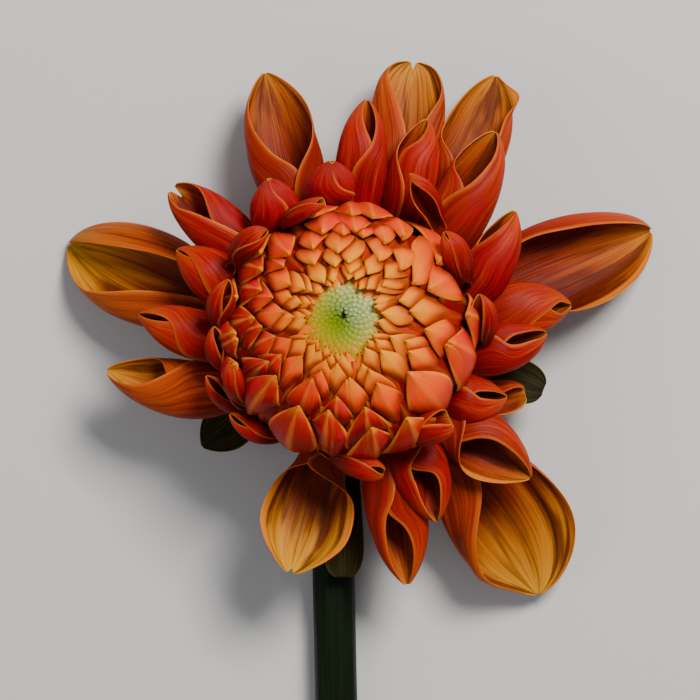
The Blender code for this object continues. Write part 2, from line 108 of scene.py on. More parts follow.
def area_light(name, place, size, power, tint):
    """A square soft light that faces the flower."""
    data = bpy.data.lights.new(name, "AREA")
    data.size = size
    data.energy = power
    data.color = tint
    light = bpy.data.objects.new(name, data)
    bpy.context.scene.collection.objects.link(light)
    light.location = place
    light.rotation_euler = (LIGHT_AIM - light.location).to_track_quat("-Z", "Y").to_euler()
    print(name, "stands", round((light.location - LIGHT_AIM).length, 2), "m away")


area_light("Key light", (0.30, 0.42, 0.70), size=0.30, power=10.5, tint=(1.0, 0.97, 0.93))
area_light("Fill light", (-0.6, -0.2, 0.6), size=0.6, power=1.3, tint=(0.93, 0.96, 1.0))
world = bpy.data.worlds.new("Studio")
world.use_nodes = True
sky = world.node_tree.nodes["Background"]
sky.inputs["Color"].default_value = (0.9, 0.94, 1.0, 1)
sky.inputs["Strength"].default_value = 0.25
bpy.context.scene.world = world

# %% Floor
bpy.ops.object.select_all(action="DESELECT")
bpy.ops.mesh.primitive_plane_add(size=3.0, location=(0, 0, 0))
floor = bpy.context.object
floor.name = "floor"
floor_paint = bpy.data.materials.new("Pale floor")
floor_paint.use_nodes = True
floor_shader = floor_paint.node_tree.nodes["Principled BSDF"]
floor_shader.inputs["Base Color"].default_value = (0.62, 0.61, 0.60, 1)
floor_shader.inputs["Roughness"].default_value = 0.8
floor.data.materials.append(floor_paint)
print("Floor and world are ready")

# %% [markdown]
# ## Shader maths in plain Python
#
# A petal's colour depends on where one is on it: along it, across it, how near the rim. Wiring that by
# hand takes dozens of Math nodes. A small class wraps one socket instead, so that `1 - edge * 2` adds
# the nodes for us, and one method adds any other node.

# %% A socket that does maths
class Wire:
    """One socket of a material's nodes. Sums and products of wires add Math nodes."""

    def __init__(self, tree, socket=None):
        self.tree = tree
        self.socket = socket

    def node(self, kind, settings=None, inputs=None, output=0):
        """Adds a node: first its settings or a ramp's stops, then what its sockets hold or link to."""
        node = self.tree.nodes.new("ShaderNode" + kind)
        for key, value in (settings or {}).items():
            if key == "stops":
                stops = node.color_ramp.elements
                while len(stops) < len(value):
                    stops.new(1.0)
                for stop, (place, tint) in zip(stops, value):
                    stop.position = place
                    stop.color = tint
            else:
                setattr(node, key, value)
        for key, value in (inputs or {}).items():
            if isinstance(value, Wire):
                self.tree.links.new(value.socket, node.inputs[key])
            else:
                node.inputs[key].default_value = value
        return Wire(self.tree, node.outputs[output])

    def maths(self, operation, first, second=0.0):
        return self.node("Math", {"operation": operation}, {0: first, 1: second})

    def __add__(self, other):
        return self.maths("ADD", self, other)

    def __sub__(self, other):
        return self.maths("SUBTRACT", self, other)

    def __rsub__(self, other):
        return self.maths("SUBTRACT", other, self)

    def __mul__(self, other):
        return self.maths("MULTIPLY", self, other)

    def __pow__(self, other):
        return self.maths("POWER", self, other)

    def __abs__(self):
        return self.maths("ABSOLUTE", self)

    def between(self, low, high):
        """0 below low, 1 above high, and a smooth rise between them."""
        settings = {"interpolation_type": "SMOOTHSTEP"}
        return self.node("MapRange", settings, {0: self, 1: low, 2: high})


print("Wires are ready")

# %% Colours, relief and stretched noise
SEED_SHIFT = (17.3, 9.1)


def colour(code):
    """A colour for a shader from its screen code, such as #e0552a."""
    channels = [int(code[place:place + 2], 16) / 255 for place in (1, 3, 5)]
    return (*[c / 12.92 if c <= 0.04045 else ((c + 0.055) / 1.055) ** 2.4 for c in channels], 1)


def mix(factor, first, second):
    """The first colour, going over to the second as the factor rises to 1."""
    return factor.node("Mix", {"data_type": "RGBA"}, {0: factor, 6: first, 7: second}, output=2)


def layered(skin, layers):
    """Lays colours over a skin one after another, each as far as its factor says."""
    for factor, code in layers:
        skin = mix(factor, skin, colour(code))
    return skin


def ramp(place, *stops):
    """A colour that changes with a place, through stops that are a place and a screen code each."""
    return place.node("ValToRGB", {"stops": [(stop, colour(code)) for stop, code in stops]}, {0: place})


def attribute(start, name):
    """A number that the mesh carries."""
    return start.node("Attribute", {"attribute_name": name}, output=2)


def new_material(name, roughness, subsurface=0.0):
    """A material, its shader node, and a wire to start from."""
    material = bpy.data.materials.new(name)
    material.use_nodes = True
    shader = material.node_tree.nodes["Principled BSDF"]
    shader.inputs["Roughness"].default_value = roughness
    shader.inputs["Subsurface Weight"].default_value = subsurface
    shader.inputs["Subsurface Radius"].default_value = (1.0, 0.35, 0.12)
    shader.inputs["Subsurface Scale"].default_value = 0.0012
    shader.inputs["Specular IOR Level"].default_value = 0.1
    return material, shader, Wire(material.node_tree)


def connect(wire, shader, name):
    wire.tree.links.new(wire.socket, shader.inputs[name])


def raise_veins(height, shader, strength, depth):
    """Makes the light show the height as fine relief, depth metres deep."""
    bump = height.node("Bump", None, {"Strength": strength, "Distance": depth, "Height": height})
    connect(bump, shader, "Normal")


def petal_places(start):
    """Wires for how far along and across a petal a point is, and for the petal's own number."""
    uv = start.node("UVMap", {"uv_map": "UVMap"})
    along = start.node("SeparateXYZ", None, {0: uv})
    across = start.node("SeparateXYZ", None, {0: uv}, output=1)
    return along, across, attribute(start, "seed")


def stretched_noise(along, across, seed, lengthwise, crosswise, detail=3.0):
    """Noise drawn out along the petal, as veins are. The seed moves it, so that no two petals match."""
    place = seed.node("CombineXYZ", None, {
        0: along * lengthwise + seed * SEED_SHIFT[0], 1: across * crosswise, 2: seed * SEED_SHIFT[1],
    })
    return seed.node("TexNoise", None, {"Vector": place, "Scale": 1.0, "Detail": detail, "Roughness": 0.55})


print("Mid grey in a shader:", [round(value, 2) for value in colour("#808080")])

# %% [markdown]
# ## Petal finishes
#
# A dahlia petal is red-orange outside, with fine darker veins, magenta blotches and a thin pale rim,
# and golden inside, with stains towards its root. Inside it also has painted shade: thin dark lines
# stand for the shade in its creases, and its root is darker, partly its own colour and partly painted
# shade deep in the roll. Petals differ from each other, so each mesh carries two numbers and one
# material serves them all: `redness` runs from gold at 0 to red at 1 and crimson above it, and `seed`
# gives each petal veins of its own.

# %% Outside, inside and rim of a petal
def outside_finish():
    material, shader, start = new_material("Petal outside", 0.42, 0.12)
    along, across, seed = petal_places(start)
    redness = attribute(start, "redness")
    edge = abs(across * 2 - 1)
    veins = stretched_noise(along, across, seed, 1.6, 30.0, 4.0)
    fine_veins = stretched_noise(along, across, seed, 3.0, 110.0, 2.0)
    blotches = stretched_noise(along, across, seed, 3.2, 4.0)
    streaked = along + (veins - 0.5) * 0.45
    warm = ramp(streaked, (0.0, "#380201"), (0.35, "#7c0804"), (0.7, "#a81404"), (1.0, "#c0440a"))
    gold = ramp(streaked, (0.0, "#561003"), (0.4, "#9c3408"), (0.75, "#b86014"), (1.0, "#b87c20"))
    skin = layered(mix(redness, gold, warm), [
        (redness.between(1.0, 1.3) * 0.8, "#980414"),
        (veins.between(0.54, 0.72) * (0.6 - redness * 0.3), "#d0480c"),
        (veins.between(0.5, 0.3) * 0.6, "#640603"),
        (blotches.between(0.54, 0.7) * redness * 0.6, "#980018"),
        (fine_veins.between(0.48, 0.7) * 0.45, "#500603"),
        (edge.between(0.93, 1.0) * 0.45, "#dc6c20"),
    ])
    connect(skin, shader, "Base Color")
    raise_veins(veins * 0.6 + fine_veins * 0.4, shader, 0.6, 0.0005)
    connect(veins * 0.2 + 0.34, shader, "Roughness")
    return material


def inside_finish():
    material, shader, start = new_material("Petal inside", 0.45, 0.12)
    along, across, seed = petal_places(start)
    redness = attribute(start, "redness")
    edge = abs(across * 2 - 1)
    veins = stretched_noise(along, across, seed, 1.4, 22.0, 4.0)
    fine_veins = stretched_noise(along, across, seed, 3.0, 90.0, 2.0)
    stains = stretched_noise(along, across, seed, 1.6, 5.0)
    crease_shade_lines = stretched_noise(along, across, seed, 0.8, 8.0, 1.0)
    streaked = along + (veins - 0.5) * 0.45
    # Both ramps darken towards the root: partly the petal's own colour, partly painted shade deep in the
    # roll
    gold = ramp(streaked, (0.2, "#340802"), (0.45, "#803004"), (0.7, "#c47e10"), (1.0, "#e0a420"))
    streaked = along + (veins - 0.5) * 0.4
    warm = ramp(streaked, (0.3, "#640804"), (0.6, "#8c1404"), (0.8, "#a43808"), (1.0, "#c46c14"))
    skin = layered(mix(redness, gold, warm), [
        (stains.between(0.5, 0.64) * 0.8, "#4a0c03"),
        (fine_veins.between(0.48, 0.7) * 0.5, "#541404"),
        # Painted shade: thin dark lines where creases would hold shadow
        (abs(crease_shade_lines - 0.5).between(0.045, 0.0) * 0.55, "#481404"),
        (edge.between(0.8, 0.88) * 0.75, "#e48424"),
    ])
    connect(skin, shader, "Base Color")
    raise_veins(veins * 0.6 + fine_veins * 0.4, shader, 0.6, 0.0005)
    return material


def rim_finish():
    material, shader, start = new_material("Petal rim", 0.4, 0.15)
    along, across, seed = petal_places(start)
    worn = stretched_noise(along, across, seed, 8.0, 8.0)
    skin = layered(colour("#b84410"), [
        (worn.between(0.3, 0.7), "#e07824"), (along.between(0.9, 1.0) * 0.7, "#d0a034"),
    ])
    connect(skin, shader, "Base Color")
    return material


petal_finishes = [inside_finish(), outside_finish(), rim_finish()]
print("Finishes:", [material.name for material in petal_finishes])

# %% [markdown]
# ## One petal
#
# A dahlia's petal is a flat blade that rolls up as it grows: its two margins rise, meet over the
# midrib and slide past each other, and towards the tip they part again in a pointed mouth. So a petal
# is described by its midrib, by its width, and by how far round each margin has turned at each place
# along it. A grid is added, and each of its points is moved to its place on that rolled surface.
# Solidify then gives the blade its thickness, with the inside, the outside and the rim as three
# material slots, and Subdivision rounds the rim.

# %% The description of a petal
def curve(text):
    """Reads a curve such as "30:205 100:150": the percent of the way along, then the value there."""
    pairs = [pair.split(":") for pair in text.split()]
    return [(int(percent) / 100, int(value)) for percent, value in pairs]


@dataclass
class Petal:
    """Lengths are in millimetres from the head's middle, and left is the left of one who looks from root
    to tip. left and right are curves of the degrees that this margin has turned from the midrib, and
    over is the margin that lies outside where both meet. The midrib runs from the disc's ring, or from
    root, by way of base to the tip; swing, sag and bulge move its bend to the left, up and
    outwards. claw and blunt are the shares of the width at the root and the tip, widest is where it is
    full, and taper shapes it from there on. depth flattens the roll, lip flares the margins, pleats are
    (how many, how deep), ears pull the margins out beside the tip, and notch cuts into it."""

    name: str
    tip: tuple
    base: tuple
    width: float
    left: str
    right: str
    over: str = "right"
    swing: float = 0.0
    sag: float = 0.0
    bulge: float = 0.0
    depth: float = 0.6
    widest: float = 0.5
    claw: float = 0.36
    taper: tuple = (2.2, 0.85)
    blunt: float = 0.04
    lip: tuple = (0.0, 0.0)
    pleats: tuple = (0.0, 0.0)
    ears: tuple = (0.0, 0.0)
    notch: float = 0.0
    redness: float = 1.0
    ring: tuple = (12.4, -8.4)
    root: tuple = None
    rows: int = 30
    columns: int = 24

    def __post_init__(self):
        self.margins = [curve(self.left), curve(self.right)]


print("A petal is described by", len(Petal.__dataclass_fields__), "values")

# %% Smooth curves
def smooth_step(t):
    t = min(max(t, 0.0), 1.0)
    return t * t * (3 - 2 * t)


def rise(value, start_and_span):
    """0 up to the start, 1 after the span, and a smooth rise between them."""
    start, span = start_and_span
    return smooth_step((value - start) / span)


def through(points, u):
    """A smooth curve through (place, value) points, level beyond both ends."""
    if u <= points[0][0]:
        return points[0][1]
    if u >= points[-1][0]:
        return points[-1][1]
    last = len(points) - 1
    step = next(number for number in range(last) if points[number + 1][0] >= u)
    (u0, a0), (u1, a1) = points[step], points[step + 1]
    before, after = points[max(step - 1, 0)], points[min(step + 2, last)]
    slope0 = (a1 - before[1]) / (u1 - before[0]) if step else 0.0
    slope1 = (after[1] - a0) / (after[0] - u0)
    span = u1 - u0
    t = (u - u0) / span
    return (
        a0 * (1 + 2 * t) * (1 - t) ** 2 + slope0 * span * t * (1 - t) ** 2
        + a1 * t * t * (3 - 2 * t) - slope1 * span * t * t * (1 - t)
    )


print("A margin half way between 180 and 90 degrees:", round(through(curve("0:180 100:90"), 0.5)))

# %% A petal's midrib and width
BEND_PLACE = 0.55


def midrib_frame(petal, u):
    """The midrib's point at u, and the directions along it, across it to the left, and out of its face."""
    base, tip = Vector(petal.base), Vector(petal.tip)
    outward = Vector((base.x, base.y, 0)).normalized()
    radius, height = petal.ring
    root = Vector(petal.root) if petal.root else head_tilt @ (outward * radius + UP * height)
    heading = tip - root
    across = UP.cross(Vector((heading.x, heading.y, 0))).normalized()
    bend = base.lerp(tip, BEND_PLACE) + across * petal.swing + UP * petal.sag + outward * petal.bulge
    left = 1 - u
    centre = root * left**3 + base * 3 * left**2 * u + bend * 3 * left * u**2 + tip * u**3
    slope = (base - root) * left**2 + (bend - base) * 2 * left * u + (tip - bend) * u**2
    along = slope.normalized()
    above = along.cross(across).normalized()
    return centre, along, above.cross(along), above


def half_width(petal, u):
    """A claw at the root, the widest place, then a pointed tip."""
    if u < petal.widest:
        share = petal.claw + (1 - petal.claw) * smooth_step(u / petal.widest)
    else:
        beyond = (u - petal.widest) / (1 - petal.widest)
        fullness, roundness = petal.taper
        share = petal.blunt + (1 - petal.blunt) * max(1 - beyond**fullness, 0.0) ** roundness
    return petal.width / 2 * share


print("The midrib bends", round(BEND_PLACE * 100), "percent of the way from the base to the tip")

# %% A point of a petal
CLAW_END = 0.3
CLAW_DEG = 55.0
WRAP = 0.07
NOTCH_WIDTH = 0.16
PLEAT_TURN = 0.6
UNEVENNESS = 0.05
DENTS = (4, 3, 7.1)
EAR_PLACE = 0.88
EAR_LENGTH = 0.06
EAR_SLANT = 0.6
# Where each of these effects starts, and the span over which it comes in
WRAP_DEG = (110, 90)
NOTCH_ALONG = (0.8, 0.2)
PLEATS_ALONG = (0.15, 0.5)
LIP_ACROSS = (0.72, 0.28)
LIP_ALONG = (0.3, 0.25)
EAR_ACROSS = (0.7, 0.3)


def petal_point(petal, u, v):
    """The inside surface at u along the petal and v across it, from -1 at the right to 1 at the left."""
    side, index = ("left", 0) if v > 0 else ("right", 1)
    claw = smooth_step(u / CLAW_END)
    margins = [CLAW_DEG + (through(margin, u) - CLAW_DEG) * claw for margin in petal.margins]
    radius = half_width(petal, u) / math.sin(math.radians(min(max(margins), 90)))
    notch = petal.notch * math.exp(-(v / NOTCH_WIDTH) ** 2) * rise(u, NOTCH_ALONG)
    centre, along, across, above = midrib_frame(petal, u * (1 - notch))
    degrees = abs(v) * margins[index]
    reach = 1 + WRAP * rise(degrees, WRAP_DEG) * (1 if petal.over == side else -1)
    count, size = petal.pleats
    reach += size * math.cos(v * count * math.pi + PLEAT_TURN) * (1 - v**4) * rise(u, PLEATS_ALONG)
    dent = Vector((u * DENTS[0], v * DENTS[1], petal.width * DENTS[2]))
    reach += UNEVENNESS * noise.noise(dent)
    reach += petal.lip[index] * rise(abs(v), LIP_ACROSS) ** 2 * rise(u, LIP_ALONG)
    angle = math.radians(math.copysign(degrees, v))
    axis = centre + above * petal.depth * radius
    point = axis + across * radius * reach * math.sin(angle)
    point -= above * petal.depth * radius * reach * math.cos(angle)
    ear = petal.ears[index] * math.exp(-(((u - EAR_PLACE) / EAR_LENGTH) ** 2)) * rise(abs(v), EAR_ACROSS)
    return point + (across * math.copysign(1, v) + along * EAR_SLANT) * ear


def crowded(share, power):
    """Moves evenly spread rows closer together towards the tip, which keeps it sharp."""
    return 1 - (1 - share) ** power


print("A margin lies", WRAP, "of the roll's radius over or under the other one")

# %% Make a petal's mesh
PETAL_THICKNESS = 0.24
PETAL_CROWDING = 1.25
SEED_STEP = 0.618


def add_grid(rows, columns):
    """A flat grid with its rows along x and its columns along y, both from -1 to 1."""
    bpy.ops.object.select_all(action="DESELECT")
    bpy.ops.mesh.primitive_grid_add(x_subdivisions=rows, y_subdivisions=columns, size=2)
    return bpy.context.object


def bend_grid(piece, point_at):
    """Moves each point of a grid to point_at(u, v): u runs from 0 to 1 along x, v from -1 to 1 along y."""
    for vert in piece.data.vertices:
        vert.co = (point_at((vert.co.x + 1) / 2, vert.co.y) + head_centre) * MM


def apply_modifiers(piece):
    bpy.ops.object.select_all(action="DESELECT")
    piece.select_set(True)
    bpy.context.view_layer.objects.active = piece
    for modifier in list(piece.modifiers):
        bpy.ops.object.modifier_apply(modifier=modifier.name)


def numbers_on(piece, name, values):
    """Stores a number on each point of a piece, for its material to read."""
    stored = piece.data.attributes.new(name, "FLOAT", "POINT")
    stored.data.foreach_set("value", values)


def number_on(piece, name, value):
    """Stores the same number on all points of a piece."""
    numbers_on(piece, name, [value] * len(piece.data.vertices))


def seed_on(piece, number):
    """Gives a piece a seed from 0 to 1 that differs well from those of its neighbours."""
    number_on(piece, "seed", (number * SEED_STEP) % 1)


def thicken(piece, thickness):
    """Gives a blade its thickness, outwards from its inside face, and rounds its rim."""
    wall = piece.modifiers.new("Thickness", "SOLIDIFY")
    wall.thickness = thickness * MM
    wall.offset = -1
    wall.material_offset = 1
    wall.material_offset_rim = 2
    smooth = piece.modifiers.new("Rounded", "SUBSURF")
    smooth.levels = 1
    smooth.render_levels = 1
    apply_modifiers(piece)
    bpy.ops.object.shade_smooth()


def dress(piece, node):
    """Lets a piece stand for its part of the plain model."""
    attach(piece, "root")
    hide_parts(node)


def make_petal(petal, number, finishes, node="outer_petals"):
    piece = add_grid(petal.rows, petal.columns)
    piece.name = petal.name
    bend_grid(piece, lambda u, v: petal_point(petal, crowded(u, PETAL_CROWDING), v))
    for finish in finishes:
        piece.data.materials.append(finish)
    number_on(piece, "redness", petal.redness)
    seed_on(piece, number)
    thicken(piece, PETAL_THICKNESS)
    dress(piece, node)
    return piece


print("Petals are", PETAL_THICKNESS, "mm thick")

# %% [markdown]
# ## The wide golden petals at the back
#
# Seven large petals have opened furthest. Four stand at the top and the sides, with their margins
# folded in; one hangs open at the lower right like a fan with deep pleats; one is a wide cup with a
# flared lip; and the one at the left is a boat whose upper half folds over.

# %% Back petals, clockwise from the upper left
BACK_PETALS = [
    Petal("back_petal_1", (-15, 46, -17), (-10, 23.5, -14), 13, lip=(0, 0.24), redness=0.75,
          left="30:205 44:198 51:170 60:150 78:118 100:95",
          right="30:185 44:165 54:140 70:118 84:104 100:98"),
    Petal("back_petal_2", (12.2, 48, -18), (9.6, 24, -15), 13.4, over="left", depth=0.4, blunt=0.12,
          taper=(4, 0.5), notch=0.04, redness=0.55,
          left="30:200 50:187 62:180 80:155 95:115 100:105", right="30:175 60:160 70:148 85:112 100:100"),
    Petal("back_petal_3", (27.2, 45.5, -17.5), (19.8, 21.5, -14), 12.6, depth=0.45, widest=0.6,
          ears=(0, 2.4), redness=0.6,
          left="30:170 52:160 62:100 100:92", right="30:190 52:175 65:148 85:135 100:125"),
    Petal("back_petal_4", (56, 17.2, -25.2), (26.5, 6.6, -14), 16.4, bulge=3, over="left", redness=0.7,
          pleats=(5, 0.03), lip=(0, 0.24),
          left="15:200 26:180 36:132 60:138 85:150 100:150",
          right="15:170 28:150 42:128 62:112 85:104 100:100"),
    Petal("back_petal_5", (35.2, -49.6, -22), (22, -26, -14.5), 21.6, depth=0.42, sag=-2, swing=4.5,
          widest=0.66, pleats=(4.5, 0.12), redness=0.25,
          left="25:130 45:95 70:80 100:75", right="25:200 40:180 47:160 55:140 70:122 85:112 100:100"),
    Petal("back_petal_6", (-10.2, -45, -4.5), (-4.4, -24.5, -11.6), 13.9, sag=-4, widest=0.72, blunt=0.16,
          notch=0.03, lip=(0.24, 0.2), pleats=(5, 0.05), over="left", redness=0.1,
          left="20:200 34:215 40:165 46:118 55:100 75:96 100:92",
          right="20:180 30:172 37:130 45:102 70:94 100:90"),
    Petal("back_petal_7", (-51.2, 14.8, -25.2), (-25.6, 4.4, -14), 17.6, bulge=3, depth=0.42, widest=0.54,
          redness=0.05,
          left="20:185 42:172 56:158 70:135 80:112 100:90",
          right="20:172 35:146 50:150 65:158 85:165 100:165"),
]
for number, petal in enumerate(BACK_PETALS):
    piece = make_petal(petal, number, petal_finishes)
    print(piece.name, "has", len(piece.data.polygons), "faces")

# %% [markdown]
# ## The rolled red petals
#
# Fifteen shorter petals stand in front of them, most of them closed for more than half their length.
# On each the seam wanders across the roll in an S before it opens into the mouth, because one margin
# slides further over the other near the root.

# %% Rolled petals, clockwise from the top
ROLLED_PETALS = [
    Petal("rolled_petal_1", (3.6, 40.6, -6.5), (2, 24, -9), 9.4, depth=0.7,
          left="40:207 69:207 83:180 100:150", right="40:204 55:196 69:164 85:140 100:128"),
    Petal("rolled_petal_2", (14.4, 37, -6), (11, 22.5, -9), 9.2, depth=0.7, over="left",
          left="40:176 52:168 63:142 72:112 80:98 100:92", right="40:225 72:232 85:190 100:150"),
    Petal("rolled_petal_3", (26.8, 34.8, -6.5), (19.6, 17, -8.5), 11.4, depth=0.65, widest=0.45,
          taper=(2.4, 0.8), redness=0.85,
          left="35:170 62:168 70:120 80:95 100:92",
          right="30:228 45:220 55:207 63:188 77:169 87:155 100:140"),
    Petal("rolled_petal_4", (30.2, 20.4, -3), (25, 5, -7.5), 8.8, depth=0.7,
          left="40:150 66:120 80:100 100:94", right="50:245 64:250 72:232 82:214 92:192 100:160"),
    Petal("rolled_petal_5", (40.6, 3.4, -8), (26, 2.6, -9.5), 10.4, over="left", ears=(0.8, 0.8),
          redness=0.85,
          left="35:262 50:250 60:232 70:210 85:188 100:162", right="40:200 77:190 86:172 100:150"),
    Petal("rolled_petal_6", (36, -1.6, -4.5), (24.4, -6.2, -6), 8.8, depth=0.65,
          left="30:190 55:182 68:160 85:152 100:140",
          right="30:225 50:222 57:210 63:188 72:178 88:172 100:155"),
    Petal("rolled_petal_7", (28.8, -13.2, -4), (20.6, -15, -8), 9.4, depth=0.7,
          left="30:200 58:184 70:164 85:156 100:142", right="30:215 55:208 66:198 76:184 88:174 100:155"),
    Petal("rolled_petal_8", (32.4, -12.6, -11), (23, -14.5, -12.5), 6, blunt=0.35, taper=(3, 0.7),
          redness=0.9, lip=(0, 0.2),
          left="30:170 70:165 100:135", right="30:140 70:120 100:95"),
    Petal("rolled_petal_9", (33.2, -27.8, -6.5), (19, -17, -9), 11.3, lip=(0, 0.24), redness=0.8,
          left="30:232 42:228 48:206 54:184 65:164 80:154 100:140",
          right="25:225 35:215 43:190 50:150 60:116 70:104 100:98"),
    Petal("rolled_petal_10", (16.2, -35.6, -4), (12.6, -22.6, -8), 10.2, depth=0.65,
          left="30:215 50:205 57:185 60:161 70:146 85:145 100:140",
          right="30:240 41:195 50:168 70:163 100:150"),
    Petal("rolled_petal_11", (10.9, -47.2, -8.5), (8.1, -25, -10.5), 11.4, redness=0.9,
          left="30:205 58:200 66:175 75:158 85:148 100:142",
          right="30:192 50:180 60:161 70:152 80:143 100:130"),
    Petal("rolled_petal_12", (-37.6, 1.8, -4), (-24.4, -3.4, -8), 8.8, depth=0.7, redness=0.9,
          left="30:195 75:192 87:180 100:162", right="30:252 55:246 65:226 72:192 80:166 100:150"),
    Petal("rolled_petal_13", (-30.6, 13.4, -2), (-22.6, 7.4, -7), 9.2, depth=0.75,
          left="30:200 75:198 90:186 100:168", right="30:215 50:225 65:212 78:196 90:176 100:155"),
    Petal("rolled_petal_14", (-31.6, 24.6, -6), (-19.4, 14, -8), 9.8, depth=0.65, over="left", blunt=0.2,
          taper=(2.4, 0.75), notch=0.11,
          left="30:215 50:200 60:190 70:180 80:166 90:140 100:125",
          right="30:185 60:183 70:166 80:138 90:110 100:98"),
    Petal("rolled_petal_15", (-43.6, -8.4, -10), (-23, -14.5, -10.5), 10.4, over="left", redness=0.4,
          left="30:270 50:255 60:221 70:192 80:168 90:150 100:120",
          right="30:170 58:172 63:165 70:110 80:95 100:92"),
]
for number, petal in enumerate(ROLLED_PETALS):
    make_petal(petal, number + len(BACK_PETALS), petal_finishes)
print(len(ROLLED_PETALS), "rolled petals")

# %% [markdown]
# ## Small petals hugging the rim
#
# Between the rolled petals and the dome fourteen petals have only just begun to lift. Some stand up as
# closed hoods, others lie along the rim with a small spiral mouth.

# %% Collar petals, clockwise from the top
COLLAR_ROWS = 24
COLLAR_COLUMNS = 20
FIRST_COLLAR_NUMBER = 23
COLLAR_PETALS = [
    Petal("collar_petal_1", (-2.7, 29.2, 3), (-3.2, 25.5, -5), 8.8, depth=0.6, over="left", taper=(3, 0.62),
          widest=0.6, root=(-2.6, 17.5, -8), redness=1.3,
          left="30:262 70:236 85:208 100:185", right="30:200 100:196"),
    Petal("collar_petal_2", (-14, 26, 3), (-14, 20.5, -5), 9.4, depth=0.6, over="left",
          root=(-10, 15.5, -8), taper=(2.6, 0.7), redness=1.3,
          left="30:150 50:182 68:206 85:205 100:172", right="30:215 70:205 100:188"),
    Petal("collar_petal_3", (-4, 21.9, 8), (-9.5, 20, 6), 3, depth=0.9, root=(-12.5, 16.5, -1), blunt=0.4,
          left="30:200 80:190 100:120", right="30:230 80:215 100:160"),
    Petal("collar_petal_4", (11.4, 26.8, 5.5), (14.6, 22.4, 1), 4.6, depth=0.6, root=(18, 14, -3),
          left="30:130 60:115 85:125 100:170", right="30:150 60:158 85:190 100:250"),
    Petal("collar_petal_5", (17.4, 16.4, 8), (20.6, 11.6, 5.5), 5, depth=0.6, root=(21.5, 5, -3),
          left="30:200 80:190 100:160", right="30:200 80:185 100:160"),
    Petal("collar_petal_6", (23.6, 5.2, 6), (25.5, 0, 3), 5, depth=0.5, root=(23, -6, -3),
          left="30:90 100:60", right="30:190 80:175 100:150"),
    Petal("collar_petal_7", (18.4, -17, 6.5), (15, -18.5, 6), 6.4, depth=0.7, root=(8.5, -20.5, -1),
          blunt=0.5,
          left="30:190 70:150 100:110", right="30:200 80:180 100:150"),
    Petal("collar_petal_8", (6.6, -26.8, 4.5), (1, -25, 4), 4.6, depth=0.7, root=(-4.5, -22.5, -2),
          blunt=0.3,
          left="30:220 60:200 80:160 100:130", right="30:200 70:195 100:165"),
    Petal("collar_petal_9", (-21, -16.2, 2.5), (-16, -21, -0.5), 3.8, depth=0.7, root=(-9, -19.5, -7),
          left="30:200 60:185 85:150 100:120", right="30:200 60:195 100:170"),
    Petal("collar_petal_10", (-25.2, -9.4, 3), (-22.5, -14, -1), 4, depth=0.7, root=(-15, -17, -6.5),
          left="30:195 60:175 100:140", right="30:190 60:170 100:130"),
    Petal("collar_petal_11", (-20.8, -6.8, 8), (-21, -11.5, 5), 4.2, depth=0.7, root=(-15.5, -15.5, -3),
          left="30:215 60:205 85:190 100:165", right="30:200 60:195 100:170"),
    Petal("collar_petal_12", (-23.8, -0.6, 5.5), (-23.8, -5, 2), 4.6, depth=0.7, root=(-20, -10, -4),
          left="30:190 60:180 85:165 100:140", right="30:195 60:170 100:130"),
    Petal("collar_petal_13", (-21.2, 7.8, 7.5), (-23.6, 3.5, 4), 5, depth=0.7, root=(-21.5, -3.5, -3),
          left="30:190 60:185 100:160", right="30:195 60:170 100:110"),
    Petal("collar_petal_14", (-14.2, 16.6, 8), (-18.4, 15.4, 6.5), 4.4, depth=0.7, root=(-21.5, 8.5, -1),
          left="30:230 70:215 90:190 100:150", right="30:200 70:170 100:140"),
]
for number, petal in enumerate(COLLAR_PETALS):
    petal.rows, petal.columns = COLLAR_ROWS, COLLAR_COLUMNS
    make_petal(petal, number + FIRST_COLLAR_NUMBER, petal_finishes)
print(len(COLLAR_PETALS), "collar petals")

# %% [markdown]
# ## The dome of scale petals
#
# The unopened petals overlap like scales, each with its tip towards the crown. Their tips are read off
# the flower one by one, as a direction round the button and a distance from it. Each scale is the same
# small grid, bent over the dome. Its tip stands clear and its back is keeled; it stays high until the
# tips in front of it cover it, and then dives under them. Its mesh carries a third number, `behind`,
# from 0 at the tip to 1 where the next tips cover it. With it the finish reddens each scale towards
# its base, partly its own colour and partly painted shade, and paints dark shade where the covering
# tips would cast their shadow.

# %% The dome's surface
CORE_RADIUS = 22.4
CORE_HEIGHT = 14.0
CORE_UNDERSIDE = 5.2
CORE_SUNK = 1.4
TIP_LIFT = 2.1
CROWN_LIFT = 0.3
BUTTON_MIDDLE = Vector((-0.72, 1.26, 0))
RIM_MIDDLE = Vector((0.0, -1.44, 0))
RIM_REACH = 24.0


def dome_point(polar, azimuth, lift):
    """A point over the dome's core, from its angle down from the crown and its direction round it."""
    ring = CORE_RADIUS * math.sin(polar)
    place = Vector((ring * math.cos(azimuth), ring * math.sin(azimuth), CORE_HEIGHT * math.cos(polar)))
    out = Vector((place.x / CORE_RADIUS**2, place.y / CORE_RADIUS**2, place.z / CORE_HEIGHT**2)).normalized()
    return place + out * lift


def seen_on_dome(x, y, lift):
    """The polar angle and azimuth of the dome's point that shows at x, y when seen from straight above."""
    wide, high = CORE_RADIUS + lift, CORE_HEIGHT + lift
    back = head_tilt.inverted()
    start = back @ Vector((x, y, 0))
    ray = back.to_3x3() @ UP
    start = Vector((start.x / wide, start.y / wide, start.z / high))
    ray = Vector((ray.x / wide, ray.y / wide, ray.z / high))
    middle = -start.dot(ray) / ray.length_squared
    room = max(middle**2 - (start.length_squared - 1) / ray.length_squared, 0.0)
    found = start + ray * (middle + math.sqrt(room))
    return math.atan2(math.hypot(found.x, found.y), found.z), math.atan2(found.y, found.x)


